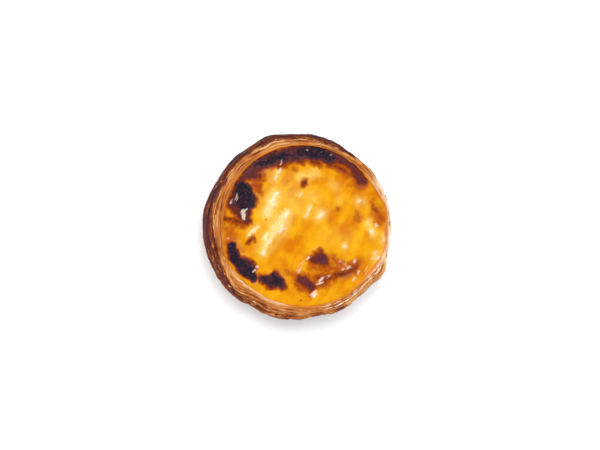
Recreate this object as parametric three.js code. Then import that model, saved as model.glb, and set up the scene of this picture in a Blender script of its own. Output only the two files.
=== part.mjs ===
// A Portuguese custard tart, about 75 mm across and 26 mm high: a cup of coiled puff pastry whose
// layers show as ledges round the wall and as leaves on the rim, filled with baked custard that
// has swollen where it scorched and sunk in a pool near the middle.
// Units are millimetres and degrees, +Z is up, and the tart stands on z = 0.
import * as THREE from "three";

// Driving sizes of the pastry cup
const RIM_RADIUS = 37.2;
const RIM_OVAL = 0.55; // the rim is this much longer than round from left to right
const EDGE_HEIGHT = 23.2; // of the widest place, where the wall turns over into the rim
const RIM_ROLL = 1.9; // from the widest place up to the rim's crest
const ROLL_LEAN = 0.6; // the crest is this much higher on the left
const CREST_PLACE = 0.4; // share of the rim's width from its outside to its crest
const INNER_RADIUS = 32.4;
const INNER_SHIFT_X = 2.3; // the opening lies off the middle, so the rim is wide on the left
const INNER_SHIFT_Y = 0.4;
const INNER_EDGE_HEIGHT = 23;
const BASE_RADIUS = 24.6;
const BASE_ROUNDING = 2.2;
const LOWEST_LEDGE = 0.06; // share of the wall's height where its ledges begin
const WALL_BELLY = 1.4; // 1 is a straight cone, more is a fuller bowl
const WALL_THICKNESS_LOW = 3.2;
const FLOOR_THICKNESS = 2.6;
const FLOOR_ROUNDING = 1.5; // where the floor meets the wall inside

// The layers of the pastry
const WALL_LEDGES = 9;
// The two rings of a ledge: share of its height, and share of its depth outwards
const LEDGE_PROFILE = [
  [0.12, -0.35],
  [0.82, 0.65],
];
const LEDGE_DEPTH = 0.5;
const LEDGE_SWAY = 0.45; // of a ledge's height, shared by all the ledges
const RIM_LEAVES = 5;
// The groove ring and the two raised rings of a leaf: share of its pitch, share of its height
const LEAF_PROFILE = [
  [0.08, -0.4],
  [0.42, 1],
  [0.72, 0.7],
];
const LEAF_HEIGHT = 0.75;
const LEAF_SLANT = 0.3; // a leaf leans away from the crest by this share of its height
const LEAF_SWAY = 0.4; // of a leaf's pitch, shared by all the leaves
const OWN_SWAY = 0.15; // of the pitch, for each ledge or leaf on its own
const ROUND_STEPS = 108;

// Places where the rim bulges out or is pinched in, by angle from +X
const RIM_SWELLS = [
  { at: 55, out: -0.75, spread: 13 },
  { at: 76, out: 0.25, spread: 9 },
  { at: 108, out: 1, spread: 7 },
  { at: 150, out: -0.75, spread: 10 },
  { at: 176, out: 0.25, spread: 12 },
  { at: 239, out: -1, spread: 7 },
  { at: 281, out: -0.75, spread: 7 },
  { at: 300, out: 0.5, spread: 8 },
  { at: 332, out: 2, spread: 7 },
];
const SWELL_LIFT = 0.35; // the rim rises by this share of what it bulges out
const RIM_WAVE = 0.25; // the rim's own small ups and downs

// Places where the opening is wider or narrower than round
const OPENING_SWELLS = [
  { at: 12, out: 1.6, spread: 12 },
  { at: 75, out: -0.6, spread: 40 },
  { at: 202, out: 0.8, spread: 22 },
  { at: 268, out: -0.8, spread: 32 },
  { at: 346, out: 1.9, spread: 11 },
];

// Driving sizes of the custard
const CUSTARD_LEVEL = 22.6;
const CUSTARD_GAP = 0.35; // between the custard and the pastry
const CUSTARD_EDGE = 0.95; // share of the inner wall's height that sets the skin's width
const SKIN_RIPPLE = 0.22;
const CUSTARD_RINGS = 17;
const CUSTARD_ROUND_STEPS = 72;

// Round hills and hollows of the custard's skin, placed from the middle of the opening
const HILLS = [
  { name: "pool", x: -4, y: -7.5, radius: 12, rise: -1.2 },
  { name: "left blister", x: -22.8, y: 11.2, radius: 5.4, rise: 1.5 },
  { name: "front blister", x: -11.2, y: -21.1, radius: 5, rise: 1.1 },
  { name: "front right swell", x: 7.2, y: -11.9, radius: 4.6, rise: 0.8 },
  { name: "front swell", x: 1.8, y: -22.8, radius: 4.4, rise: 0.9 },
  { name: "right front swell", x: 17.5, y: -17.2, radius: 5, rise: 0.8 },
  { name: "back spot", x: 0.5, y: 17.1, radius: 2.8, rise: 0.6 },
  { name: "right spot", x: 21, y: 4.4, radius: 3.4, rise: 0.6 },
  { name: "right edge swell", x: 30, y: 4.6, radius: 4.2, rise: 0.6 },
  { name: "left spot", x: -21, y: -6, radius: 3.4, rise: 0.5 },
  { name: "middle hill", x: 8, y: 5, radius: 7, rise: 0.6 },
  { name: "back hill", x: -10, y: 18, radius: 6, rise: 0.5 },
  { name: "right hollow", x: 17, y: -7, radius: 6, rise: -0.5 },
];

// Long swellings: a stretch of ring round the middle of the opening, from one angle to another
const RING_SWELLINGS = [
  { name: "back scorch", radius: 29.2, from: 38, to: 142, half: 4.1, rise: 1.1 },
  { name: "left scorch", radius: 28.6, from: 194, to: 224, half: 3.7, rise: 1 },
];

// Straight folds of the skin: two ends, half width and rise
const FOLDS = [
  { name: "long fold", from: [-16.5, -10.5], to: [-6.5, 4], half: 3.6, rise: 0.9 },
  { name: "upper fold", from: [-14.5, 4], to: [-11, 12], half: 3.6, rise: 0.6 },
];
const HILL_FALL = 0.7; // a hill's height falls away over this share of its radius or half width

const DEGREE = Math.PI / 180;
const FULL_TURN = 2 * Math.PI;
const PHASE_STEP = 0.618034; // golden ratio, spreads the phases of the swaying lines
const PHASE_TURN = 0.754878;

const mix = (a, b, t) => a + (b - a) * t;
const clamp01 = (t) => Math.min(1, Math.max(0, t));
const bell = (distance, spread) => Math.exp(-((distance / spread) ** 2));

// The angle between two directions, in degrees from -180 to 180
function turnBetween(a, b) {
  return ((((a - b) % 360) + 540) % 360) - 180;
}

// A line that sways between about -1 and 1 round the tart and closes on itself
function sway(angle, seed, slow = 3) {
  let sum = 0;
  for (let k = 0; k < 3; k++) {
    const phase = FULL_TURN * ((seed * PHASE_STEP + k * PHASE_TURN) % 1);
    sum += Math.sin((slow + 2 * k + (seed % 2)) * angle + phase) / (1 + 0.6 * k);
  }
  return sum / 1.9;
}

// The sum of the bulges and pinches of a list at an angle
function swell(swells, angle) {
  const degrees = angle / DEGREE;
  return swells.reduce((sum, s) => sum + s.out * bell(turnBetween(degrees, s.at), s.spread), 0);
}

function rimRadius(angle) {
  return RIM_RADIUS + RIM_OVAL * Math.cos(2 * angle) + swell(RIM_SWELLS, angle);
}

function innerRadius(angle) {
  const shift = INNER_SHIFT_X * Math.cos(angle) + INNER_SHIFT_Y * Math.sin(angle);
  return INNER_RADIUS + shift + swell(OPENING_SWELLS, angle);
}

const rimWidth = (angle) => rimRadius(angle) - innerRadius(angle);

function edgeHeight(angle) {
  return EDGE_HEIGHT + SWELL_LIFT * swell(RIM_SWELLS, angle) + RIM_WAVE * sway(angle, 7);
}

const crestHeight = (angle) => edgeHeight(angle) + RIM_ROLL - ROLL_LEAN * Math.cos(angle);

// The smooth wall, outside and inside, at a share of its height
function wallOutside(share, angle) {
  const out = 1 - (1 - clamp01(share)) ** WALL_BELLY;
  return { r: mix(BASE_RADIUS, rimRadius(angle), out), z: share * edgeHeight(angle) };
}

function wallInside(share, angle) {
  const outer = wallOutside(share, angle);
  const thickness = mix(WALL_THICKNESS_LOW, rimWidth(angle), share ** 1.5);
  const z = mix(FLOOR_THICKNESS, INNER_EDGE_HEIGHT, share);
  return { r: outer.r - thickness, z };
}

// A ring of the pastry's section is a function from the angle to a radius and a height
function baseRings() {
  const flat = BASE_RADIUS - BASE_ROUNDING;
  return [
    () => ({ r: 0, z: 0 }),
    () => ({ r: flat, z: 0 }),
    (angle) => ({ r: flat + 0.72 * BASE_ROUNDING + 0.2 * sway(angle, 5), z: 0.5 }),
  ];
}

// Each ledge of the wall has a root ring, drawn in, and above it a lip ring that stands out
function wallRings() {
  const rings = [];
  for (let ledge = 0; ledge < WALL_LEDGES; ledge++) {
    const fade = clamp01(ledge / 2) * clamp01((WALL_LEDGES - 1 - ledge) / 2);
    for (const [place, out] of LEDGE_PROFILE) {
      rings.push((angle) => {
        const shared = LEDGE_SWAY * sway(angle + 0.12 * ledge, 20);
        const shift = fade * (shared + OWN_SWAY * sway(angle, 21 + ledge, 4));
        const share = mix(LOWEST_LEDGE, 1, (ledge + place + shift) / WALL_LEDGES);
        const at = wallOutside(share, angle);
        const depth = LEDGE_DEPTH * (1 + 0.45 * sway(angle, 40 + ledge, 4));
        return { r: at.r + out * depth, z: at.z };
      });
    }
  }
  return rings;
}

// The rim's rounded back, before its leaves: share 0 is the outside edge, share 1 the inner edge
function rimBack(share, angle) {
  const r = rimRadius(angle) - rimWidth(angle) * share;
  const outside = share < CREST_PLACE;
  const low = outside ? edgeHeight(angle) : INNER_EDGE_HEIGHT;
  const rise = outside ? share / CREST_PLACE : (1 - share) / (1 - CREST_PLACE);
  return { r, z: mix(low, crestHeight(angle), Math.sqrt(clamp01(1 - (1 - rise) ** 2))) };
}

// Each leaf of the rim has a groove ring and two rings for its raised edge
function rimRings() {
  const rings = [];
  for (let leaf = 0; leaf < RIM_LEAVES; leaf++) {
    for (const [place, up] of LEAF_PROFILE) {
      const fade = Math.sin((Math.PI * (leaf + place)) / RIM_LEAVES);
      rings.push((angle) => {
        const shared = LEAF_SWAY * sway(angle + 0.1 * leaf, 60, 4);
        const shift = fade * (shared + OWN_SWAY * sway(angle, 61 + leaf, 5));
        const share = (leaf + place + shift) / RIM_LEAVES;
        const back = rimBack(share, angle);
        const narrow = clamp01(rimWidth(angle) / RIM_LEAVES);
        const height = narrow * LEAF_HEIGHT * (0.6 + 0.4 * sway(angle, 80 + leaf, 5));
        const slant = LEAF_SLANT * up * (share < CREST_PLACE ? 1 : -0.4);
        return { r: back.r + slant * height, z: back.z + up * height * (1 - 0.5 * share) };
      });
    }
  }
  return rings;
}

function insideRings() {
  const rings = [0.97, 0.75, 0.5, 0.25].map((share) => (angle) => wallInside(share, angle));
  const floorEdge = (angle) => ({ r: wallInside(0, angle).r - FLOOR_ROUNDING, z: FLOOR_THICKNESS });
  return [...rings, floorEdge, () => ({ r: 0, z: FLOOR_THICKNESS })];
}

// Turns a section of rings into a closed solid, as a lathe does, with each ring free to vary
function turned(rings, steps) {
  const profile = rings.map((ring) => {
    const { r, z } = ring(0);
    return new THREE.Vector2(r, z);
  });
  const geometry = new THREE.LatheGeometry(profile, steps);
  const position = geometry.getAttribute("position");
  for (let step = 0; step <= steps; step++) {
    const angle = ((step % steps) * FULL_TURN) / steps;
    rings.forEach((ring, i) => {
      const { r, z } = ring(angle);
      position.setXYZ(step * rings.length + i, r * Math.cos(angle), r * Math.sin(angle), z);
    });
  }
  geometry.computeVertexNormals();
  return geometry;
}

// How far a place is from a fold
function distanceToFold(x, y, fold) {
  const [ax, ay] = fold.from;
  const [bx, by] = fold.to;
  const along = ((x - ax) * (bx - ax) + (y - ay) * (by - ay)) / ((bx - ax) ** 2 + (by - ay) ** 2);
  const t = clamp01(along);
  return Math.hypot(x - mix(ax, bx, t), y - mix(ay, by, t));
}

// How far a place is from a stretch of ring
function distanceToRing(x, y, ring) {
  const angle = Math.atan2(y, x) / DEGREE;
  const middle = (ring.from + ring.to) / 2;
  const reach = (ring.to - ring.from) / 2;
  const past = Math.max(0, Math.abs(turnBetween(angle, middle)) - reach);
  const radius = Math.hypot(x, y);
  return Math.hypot(radius - ring.radius, past * DEGREE * radius);
}

// The height of the custard's skin at a place measured from the middle of the tart
function custardHeight(tartX, tartY) {
  const x = tartX - INNER_SHIFT_X;
  const y = tartY - INNER_SHIFT_Y;
  let z = CUSTARD_LEVEL;
  for (const h of HILLS) z += h.rise * bell(Math.hypot(x - h.x, y - h.y), HILL_FALL * h.radius);
  for (const r of RING_SWELLINGS) z += r.rise * bell(distanceToRing(x, y, r), HILL_FALL * r.half);
  for (const f of FOLDS) z += f.rise * bell(distanceToFold(x, y, f), HILL_FALL * f.half);
  const ripple = Math.sin(0.42 * x + 1.1 * Math.sin(0.21 * y)) * Math.sin(0.37 * y + 0.8);
  return z + SKIN_RIPPLE * ripple;
}

const custardRadius = (share, angle) => wallInside(share, angle).r - CUSTARD_GAP;

// The custard's rings: up its side from the middle of its floor, then inwards over its skin
function custardRings() {
  const rings = [
    () => ({ r: 0, z: FLOOR_THICKNESS + CUSTARD_GAP }),
    (angle) => ({ r: custardRadius(0, angle) - FLOOR_ROUNDING, z: FLOOR_THICKNESS + CUSTARD_GAP }),
  ];
  for (const share of [0.25, 0.5, 0.75]) {
    rings.push((angle) => ({ r: custardRadius(share, angle), z: wallInside(share, angle).z }));
  }
  for (let ring = 0; ring <= CUSTARD_RINGS; ring++) {
    rings.push((angle) => {
      const r = custardRadius(CUSTARD_EDGE, angle) * (1 - ring / CUSTARD_RINGS);
      return { r, z: custardHeight(r * Math.cos(angle), r * Math.sin(angle)) };
    });
  }
  return rings;
}

function pastryCase() {
  const rings = [...baseRings(), ...wallRings(), ...rimRings(), ...insideRings()];
  const material = new THREE.MeshStandardMaterial({
    color: new THREE.Color(0.72, 0.42, 0.17),
    roughness: 0.65,
    metalness: 0,
  });
  const mesh = new THREE.Mesh(turned(rings, ROUND_STEPS), material);
  mesh.name = "pastry_case";
  return mesh;
}

function custard() {
  const material = new THREE.MeshStandardMaterial({
    color: new THREE.Color(0.96, 0.62, 0.1),
    roughness: 0.25,
    metalness: 0,
  });
  const mesh = new THREE.Mesh(turned(custardRings(), CUSTARD_ROUND_STEPS), material);
  mesh.name = "custard";
  return mesh;
}

// Moves the tart so that the middle of its outline stands over the origin
function centred(group) {
  const box = new THREE.Box3().setFromObject(group, true);
  const middle = box.getCenter(new THREE.Vector3());
  group.position.set(-middle.x, -middle.y, 0);
  return group;
}

const tart = new THREE.Group();
tart.add(pastryCase(), custard());

export default centred(tart);
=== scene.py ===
"""Looks of a Portuguese custard tart: a coiled puff pastry cup, a scorched custard filling,
loose pastry flakes on the rim, and the plain studio that it is photographed in.

Sizes are in millimetres, as in the part's source, and angles in degrees from +X. A mesh is
finished in metres. The tart's own places are measured from the middle of its outline, and
marks on the custard from the middle of the cup's opening.
"""

import logging
import math
from collections.abc import Iterable, Iterator
from contextlib import contextmanager
from dataclasses import dataclass, field
from enum import Enum

import bpy
import numpy as np
from mathutils import Matrix, Vector


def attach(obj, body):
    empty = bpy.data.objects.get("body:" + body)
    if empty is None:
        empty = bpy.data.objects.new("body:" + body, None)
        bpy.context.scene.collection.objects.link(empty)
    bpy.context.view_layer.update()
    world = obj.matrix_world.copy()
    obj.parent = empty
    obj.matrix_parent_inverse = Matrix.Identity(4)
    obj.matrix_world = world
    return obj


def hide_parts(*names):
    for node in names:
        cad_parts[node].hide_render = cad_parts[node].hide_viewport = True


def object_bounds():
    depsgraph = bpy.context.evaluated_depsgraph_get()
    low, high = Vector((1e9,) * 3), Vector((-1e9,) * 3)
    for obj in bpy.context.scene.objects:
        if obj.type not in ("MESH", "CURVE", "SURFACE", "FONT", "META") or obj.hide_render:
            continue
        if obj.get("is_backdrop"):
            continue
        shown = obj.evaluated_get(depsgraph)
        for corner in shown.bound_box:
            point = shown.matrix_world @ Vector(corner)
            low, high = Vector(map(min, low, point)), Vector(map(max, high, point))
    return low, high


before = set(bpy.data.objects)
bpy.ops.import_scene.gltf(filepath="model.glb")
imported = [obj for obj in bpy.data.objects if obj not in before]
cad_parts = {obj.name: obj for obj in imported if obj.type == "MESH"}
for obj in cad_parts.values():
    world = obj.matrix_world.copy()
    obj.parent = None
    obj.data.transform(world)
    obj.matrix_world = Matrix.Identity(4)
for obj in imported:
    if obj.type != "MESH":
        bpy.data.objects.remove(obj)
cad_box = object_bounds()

log = logging.getLogger("custard tart")

MM = 0.001
ROOT = "root"
BASE_RINGS = 3
SOLID_STEPS = 108
GOLDEN = 0.618034
PLASTIC = 0.754878
HALO_DEPTH = 0.2
HALO_WIDTH = 2.6


# Helpers for working on a piece as by hand


def nothing_selected() -> None:
    """Deselects every object."""
    bpy.ops.object.select_all(action="DESELECT")


def take_up(piece: bpy.types.Object) -> None:
    """Makes a piece the only selected and the active one.

    Args:
        piece: The object to work on.
    """
    nothing_selected()
    piece.select_set(True)
    bpy.context.view_layer.objects.active = piece


@contextmanager
def on_the_bench(piece: bpy.types.Object, element: str = "VERT") -> Iterator[None]:
    """Opens a piece in edit mode with nothing selected, and closes it again.

    Args:
        piece: The object to work on.
        element: Which elements are picked: VERT, EDGE or FACE.

    Yields:
        Nothing, while the piece is open.
    """
    take_up(piece)
    bpy.ops.object.mode_set(mode="EDIT")
    bpy.ops.mesh.select_mode(type=element)
    bpy.ops.mesh.select_all(action="DESELECT")
    yield
    bpy.ops.object.mode_set(mode="OBJECT")


def name_piece(piece: bpy.types.Object, name: str) -> bpy.types.Object:
    """Names an object and its mesh.

    Args:
        piece: The object.
        name: Its new name.

    Returns:
        The same object.
    """
    piece.name = name
    piece.data.name = name
    return piece


def points_of(mesh: bpy.types.Mesh) -> np.ndarray:
    """Reads the vertices of a mesh.

    Args:
        mesh: The mesh.

    Returns:
        One row of x, y and z for each vertex.
    """
    flat = np.empty(len(mesh.vertices) * 3)
    mesh.vertices.foreach_get("co", flat)
    return flat.reshape(-1, 3)


def move_points(mesh: bpy.types.Mesh, points: np.ndarray) -> None:
    """Moves the points of a mesh to places given in millimetres, one row for each."""
    mesh.vertices.foreach_set("co", (points * MM).astype(np.float32).ravel())
    mesh.update()


def write_mark(mesh: bpy.types.Mesh, name: str, values: np.ndarray) -> None:
    """Stores a value or a vector for each vertex, for a material to read.

    Args:
        mesh: The mesh.
        name: The attribute's name.
        values: One number, or one row of three numbers, for each vertex.
    """
    vector = values.ndim == 2
    kind, key = ("FLOAT_VECTOR", "vector") if vector else ("FLOAT", "value")
    mark = mesh.attributes.get(name) or mesh.attributes.new(name, kind, "POINT")
    mark.data.foreach_set(key, values.astype(np.float32).ravel())


def read_mark(mesh: bpy.types.Mesh, name: str) -> np.ndarray:
    """Reads the number stored for each vertex under a name.

    Args:
        mesh: The mesh.
        name: The attribute's name.

    Returns:
        One number for each vertex.
    """
    values = np.empty(len(mesh.vertices))
    mesh.attributes[name].data.foreach_get("value", values)
    return values


# Shapes of lines and fields


def mix(a: np.ndarray, b: np.ndarray, t: np.ndarray) -> np.ndarray:
    """Goes from a to b as t goes from 0 to 1."""
    return a + (b - a) * t


def clamp01(t: np.ndarray) -> np.ndarray:
    """Keeps t between 0 and 1."""
    return np.clip(t, 0.0, 1.0)


def ease(low: float, high: float, t: np.ndarray) -> np.ndarray:
    """Rises smoothly from 0 at low to 1 at high, or falls if high is the smaller."""
    share = clamp01((t - low) / (high - low))
    return share * share * (3 - 2 * share)


def bell(distance: np.ndarray, spread: float) -> np.ndarray:
    """Falls smoothly from 1 at no distance to almost 0 at twice the spread."""
    return np.exp(-((distance / spread) ** 2))


def turn_between(a: np.ndarray, b: float) -> np.ndarray:
    """Gives the angle from b to a, from -180 to 180 degrees."""
    return (a - b + 540.0) % 360.0 - 180.0


def on_plane(x: np.ndarray, y: np.ndarray) -> np.ndarray:
    """Gives places at no height, one row of x, y and z for each."""
    return np.stack([x, y, np.zeros_like(x)], axis=-1)


def all_round(steps: int) -> np.ndarray:
    """Gives evenly spaced angles round the tart, in radians."""
    return np.arange(steps) * 2 * math.pi / steps


def sway(angle: np.ndarray, seed: int, slow: int = 3) -> np.ndarray:
    """Draws a line that sways between about -1 and 1 round the tart and closes on itself.

    Args:
        angle: Angles in radians.
        seed: Chooses one of many such lines.
        slow: Number of waves of the slowest part.

    Returns:
        The line's value at each angle.
    """
    total = np.zeros_like(angle)
    for k in range(3):
        phase = 2 * math.pi * ((seed * GOLDEN + k * PLASTIC) % 1)
        total += np.sin((slow + 2 * k + seed % 2) * angle + phase) / (1 + 0.6 * k)
    return total / 1.9


class Grain:
    """A smooth random field in space, the same on each run."""

    CELLS = 32

    def __init__(self, seed: int) -> None:
        """Draws the field's values. The seed chooses one of many such fields."""
        self.values = np.random.default_rng(seed).random((self.CELLS,) * 3) * 2 - 1

    def at(self, points: np.ndarray, size: float) -> np.ndarray:
        """Reads the field.

        Args:
            points: Rows of x, y and z.
            size: Size of the field's lumps, in the same unit.

        Returns:
            A value between -1 and 1 for each row.
        """
        scaled = points / size + 1000.0
        cell = np.floor(scaled).astype(int)
        t = scaled - cell
        t = t * t * t * (t * (t * 6 - 15) + 10)
        total = np.zeros(points.shape[:-1])
        for corner in np.ndindex(2, 2, 2):
            weight = np.ones(points.shape[:-1])
            index = []
            for axis, step in enumerate(corner):
                weight = weight * (t[..., axis] if step else 1 - t[..., axis])
                index.append((cell[..., axis] + step) % self.CELLS)
            total += weight * self.values[tuple(index)]
        return total

    def layered(self, points: np.ndarray, size: float, layers: int = 3) -> np.ndarray:
        """Adds finer and weaker lumps to the field.

        Args:
            points: Rows of x, y and z.
            size: Size of the largest lumps.
            layers: Number of sizes, each half the one before.

        Returns:
            A value between about -1 and 1 for each row.
        """
        total, reach = np.zeros(points.shape[:-1]), 0.0
        for k in range(layers):
            total += self.at(points + 7.3 * k, size / 2**k) / 2**k
            reach += 1 / 2**k
        return total / reach


@dataclass(frozen=True)
class Swell:
    """A place where a ring bulges out or is pinched in."""

    at: float
    out: float
    spread: float


@dataclass(frozen=True)
class Sector:
    """A stretch round the tart, with the slopes where a look begins and ends, in degrees."""

    rise: tuple[float, float]
    fall: tuple[float, float]

    def at(self, degrees: np.ndarray) -> np.ndarray:
        """Gives 1 inside and 0 outside. A stretch that runs over 0 degrees adds its slopes."""
        rise, fall = ease(*self.rise, degrees), ease(*self.fall, degrees)
        return rise + fall if self.rise[0] > self.fall[0] else rise * fall


@dataclass(frozen=True)
class Side:
    """A place on the tart's edge and how far round it a look reaches, in degrees."""

    at: float
    spread: float

    def near(self, degrees: np.ndarray) -> np.ndarray:
        """Gives 1 at the place, and less the further round the tart."""
        return bell(turn_between(degrees, self.at), self.spread)


@dataclass(frozen=True)
class Hill:
    """A round hill or hollow of the custard's skin."""

    x: float
    y: float
    radius: float
    rise: float


@dataclass(frozen=True)
class LongSwell:
    """A long swelling of the custard's skin that curves round the middle of the opening."""

    radius: float
    start: float
    end: float
    half: float
    rise: float

    def off(self, x: np.ndarray, y: np.ndarray) -> np.ndarray:
        """Measures how far places are from the swelling's middle line.

        Args:
            x: First coordinates of the places.
            y: Second coordinates of the places.

        Returns:
            Distances in millimetres.
        """
        away = np.hypot(x, y)
        turn = turn_between(np.degrees(np.arctan2(y, x)), (self.start + self.end) / 2)
        past = np.maximum(0, np.abs(turn) - (self.end - self.start) / 2)
        return np.hypot(away - self.radius, np.radians(past) * away)


@dataclass(frozen=True)
class Stroke:
    """A mark drawn along a few places, each with its own half width."""

    path: tuple[tuple[float, float, float], ...]
    depth: float
    soft: float = 0.8

    def distance(self, x: np.ndarray, y: np.ndarray) -> tuple[np.ndarray, np.ndarray]:
        """Measures how far places are from the mark.

        Args:
            x: First coordinates of the places.
            y: Second coordinates of the places.

        Returns:
            The distance from the mark's middle line, and the mark's half width there.
        """
        best, width = np.full(x.shape, np.inf), np.ones(x.shape)
        ends = self.path if len(self.path) > 1 else self.path * 2
        for (ax, ay, ah), (bx, by, bh) in zip(ends, ends[1:]):
            length = max((bx - ax) ** 2 + (by - ay) ** 2, 1e-9)
            t = clamp01(((x - ax) * (bx - ax) + (y - ay) * (by - ay)) / length)
            off = np.hypot(x - mix(ax, bx, t), y - mix(ay, by, t))
            half = mix(ah, bh, t)
            nearer = off - half < best - width
            best, width = np.where(nearer, off, best), np.where(nearer, half, width)
        return best, width

    def lens(self, x: np.ndarray, y: np.ndarray) -> np.ndarray:
        """Takes the mark as pointed pieces, one between each place and the next.

        Args:
            x: First coordinates of the places.
            y: Second coordinates of the places.

        Returns:
            How far out each place is, 0 in the middle of a piece and 1 at its edge.
        """
        best = np.full(x.shape, np.inf)
        for (ax, ay, ah), (bx, by, bh) in zip(self.path, self.path[1:]):
            reach = math.hypot(bx - ax, by - ay) / 2
            cos, sin = (bx - ax) / (2 * reach), (by - ay) / (2 * reach)
            px, py = x - (ax + bx) / 2, y - (ay + by) / 2
            along, across = px * cos + py * sin, py * cos - px * sin
            best = np.minimum(best, np.hypot(along / (reach + 0.5 * ah), 2 * across / (ah + bh)))
        return best

    def slivers(self, draw: np.random.Generator) -> Iterator["Stroke"]:
        """Breaks the mark into thin pieces that lie almost along it.

        Args:
            draw: The random generator.

        Yields:
            Each piece.
        """
        for (ax, ay, ah), (bx, by, bh) in zip(self.path, self.path[1:]):
            span, half = math.hypot(bx - ax, by - ay), (ah + bh) / 2
            way = math.atan2(by - ay, bx - ax)
            for _ in range(max(2, round(1.3 * span + 3.5 * half))):
                t, off = draw.uniform(0.1, 0.9), draw.uniform(-0.9, 0.9) * half
                x = mix(ax, bx, t) - off * math.sin(way)
                y = mix(ay, by, t) + off * math.cos(way)
                turn = way + draw.uniform(-0.4, 0.4)
                reach = draw.uniform(0.25, 0.6) * (half + 0.3 * span)
                thin = draw.uniform(0.2, 0.5) * min(half, 0.9)
                dx, dy = reach * math.cos(turn), reach * math.sin(turn)
                yield Stroke(((x - dx, y - dy, thin), (x + dx, y + dy, thin)), self.depth)

    def nearness(self, x: np.ndarray, y: np.ndarray) -> np.ndarray:
        """Gives the distance from the mark's middle line as a share of its half width."""
        off, half = self.distance(x, y)
        return off / half


def drawn(strokes: Iterable[Stroke], x: np.ndarray, y: np.ndarray) -> np.ndarray:
    """Draws marks over each other, the deepest on top.

    Args:
        strokes: The marks.
        x: First coordinates of the places.
        y: Second coordinates of the places.

    Returns:
        The depth of the deepest mark at each place.
    """
    total = np.zeros(x.shape)
    for stroke in strokes:
        off, half = stroke.distance(x, y)
        edge = clamp01(0.66 - (off - half) / (2 * stroke.soft))
        halo = HALO_DEPTH * ease(stroke.soft + HALO_WIDTH, -stroke.soft, off - half)
        total = np.maximum(total, stroke.depth * np.maximum(edge, halo))
    return total


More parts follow.
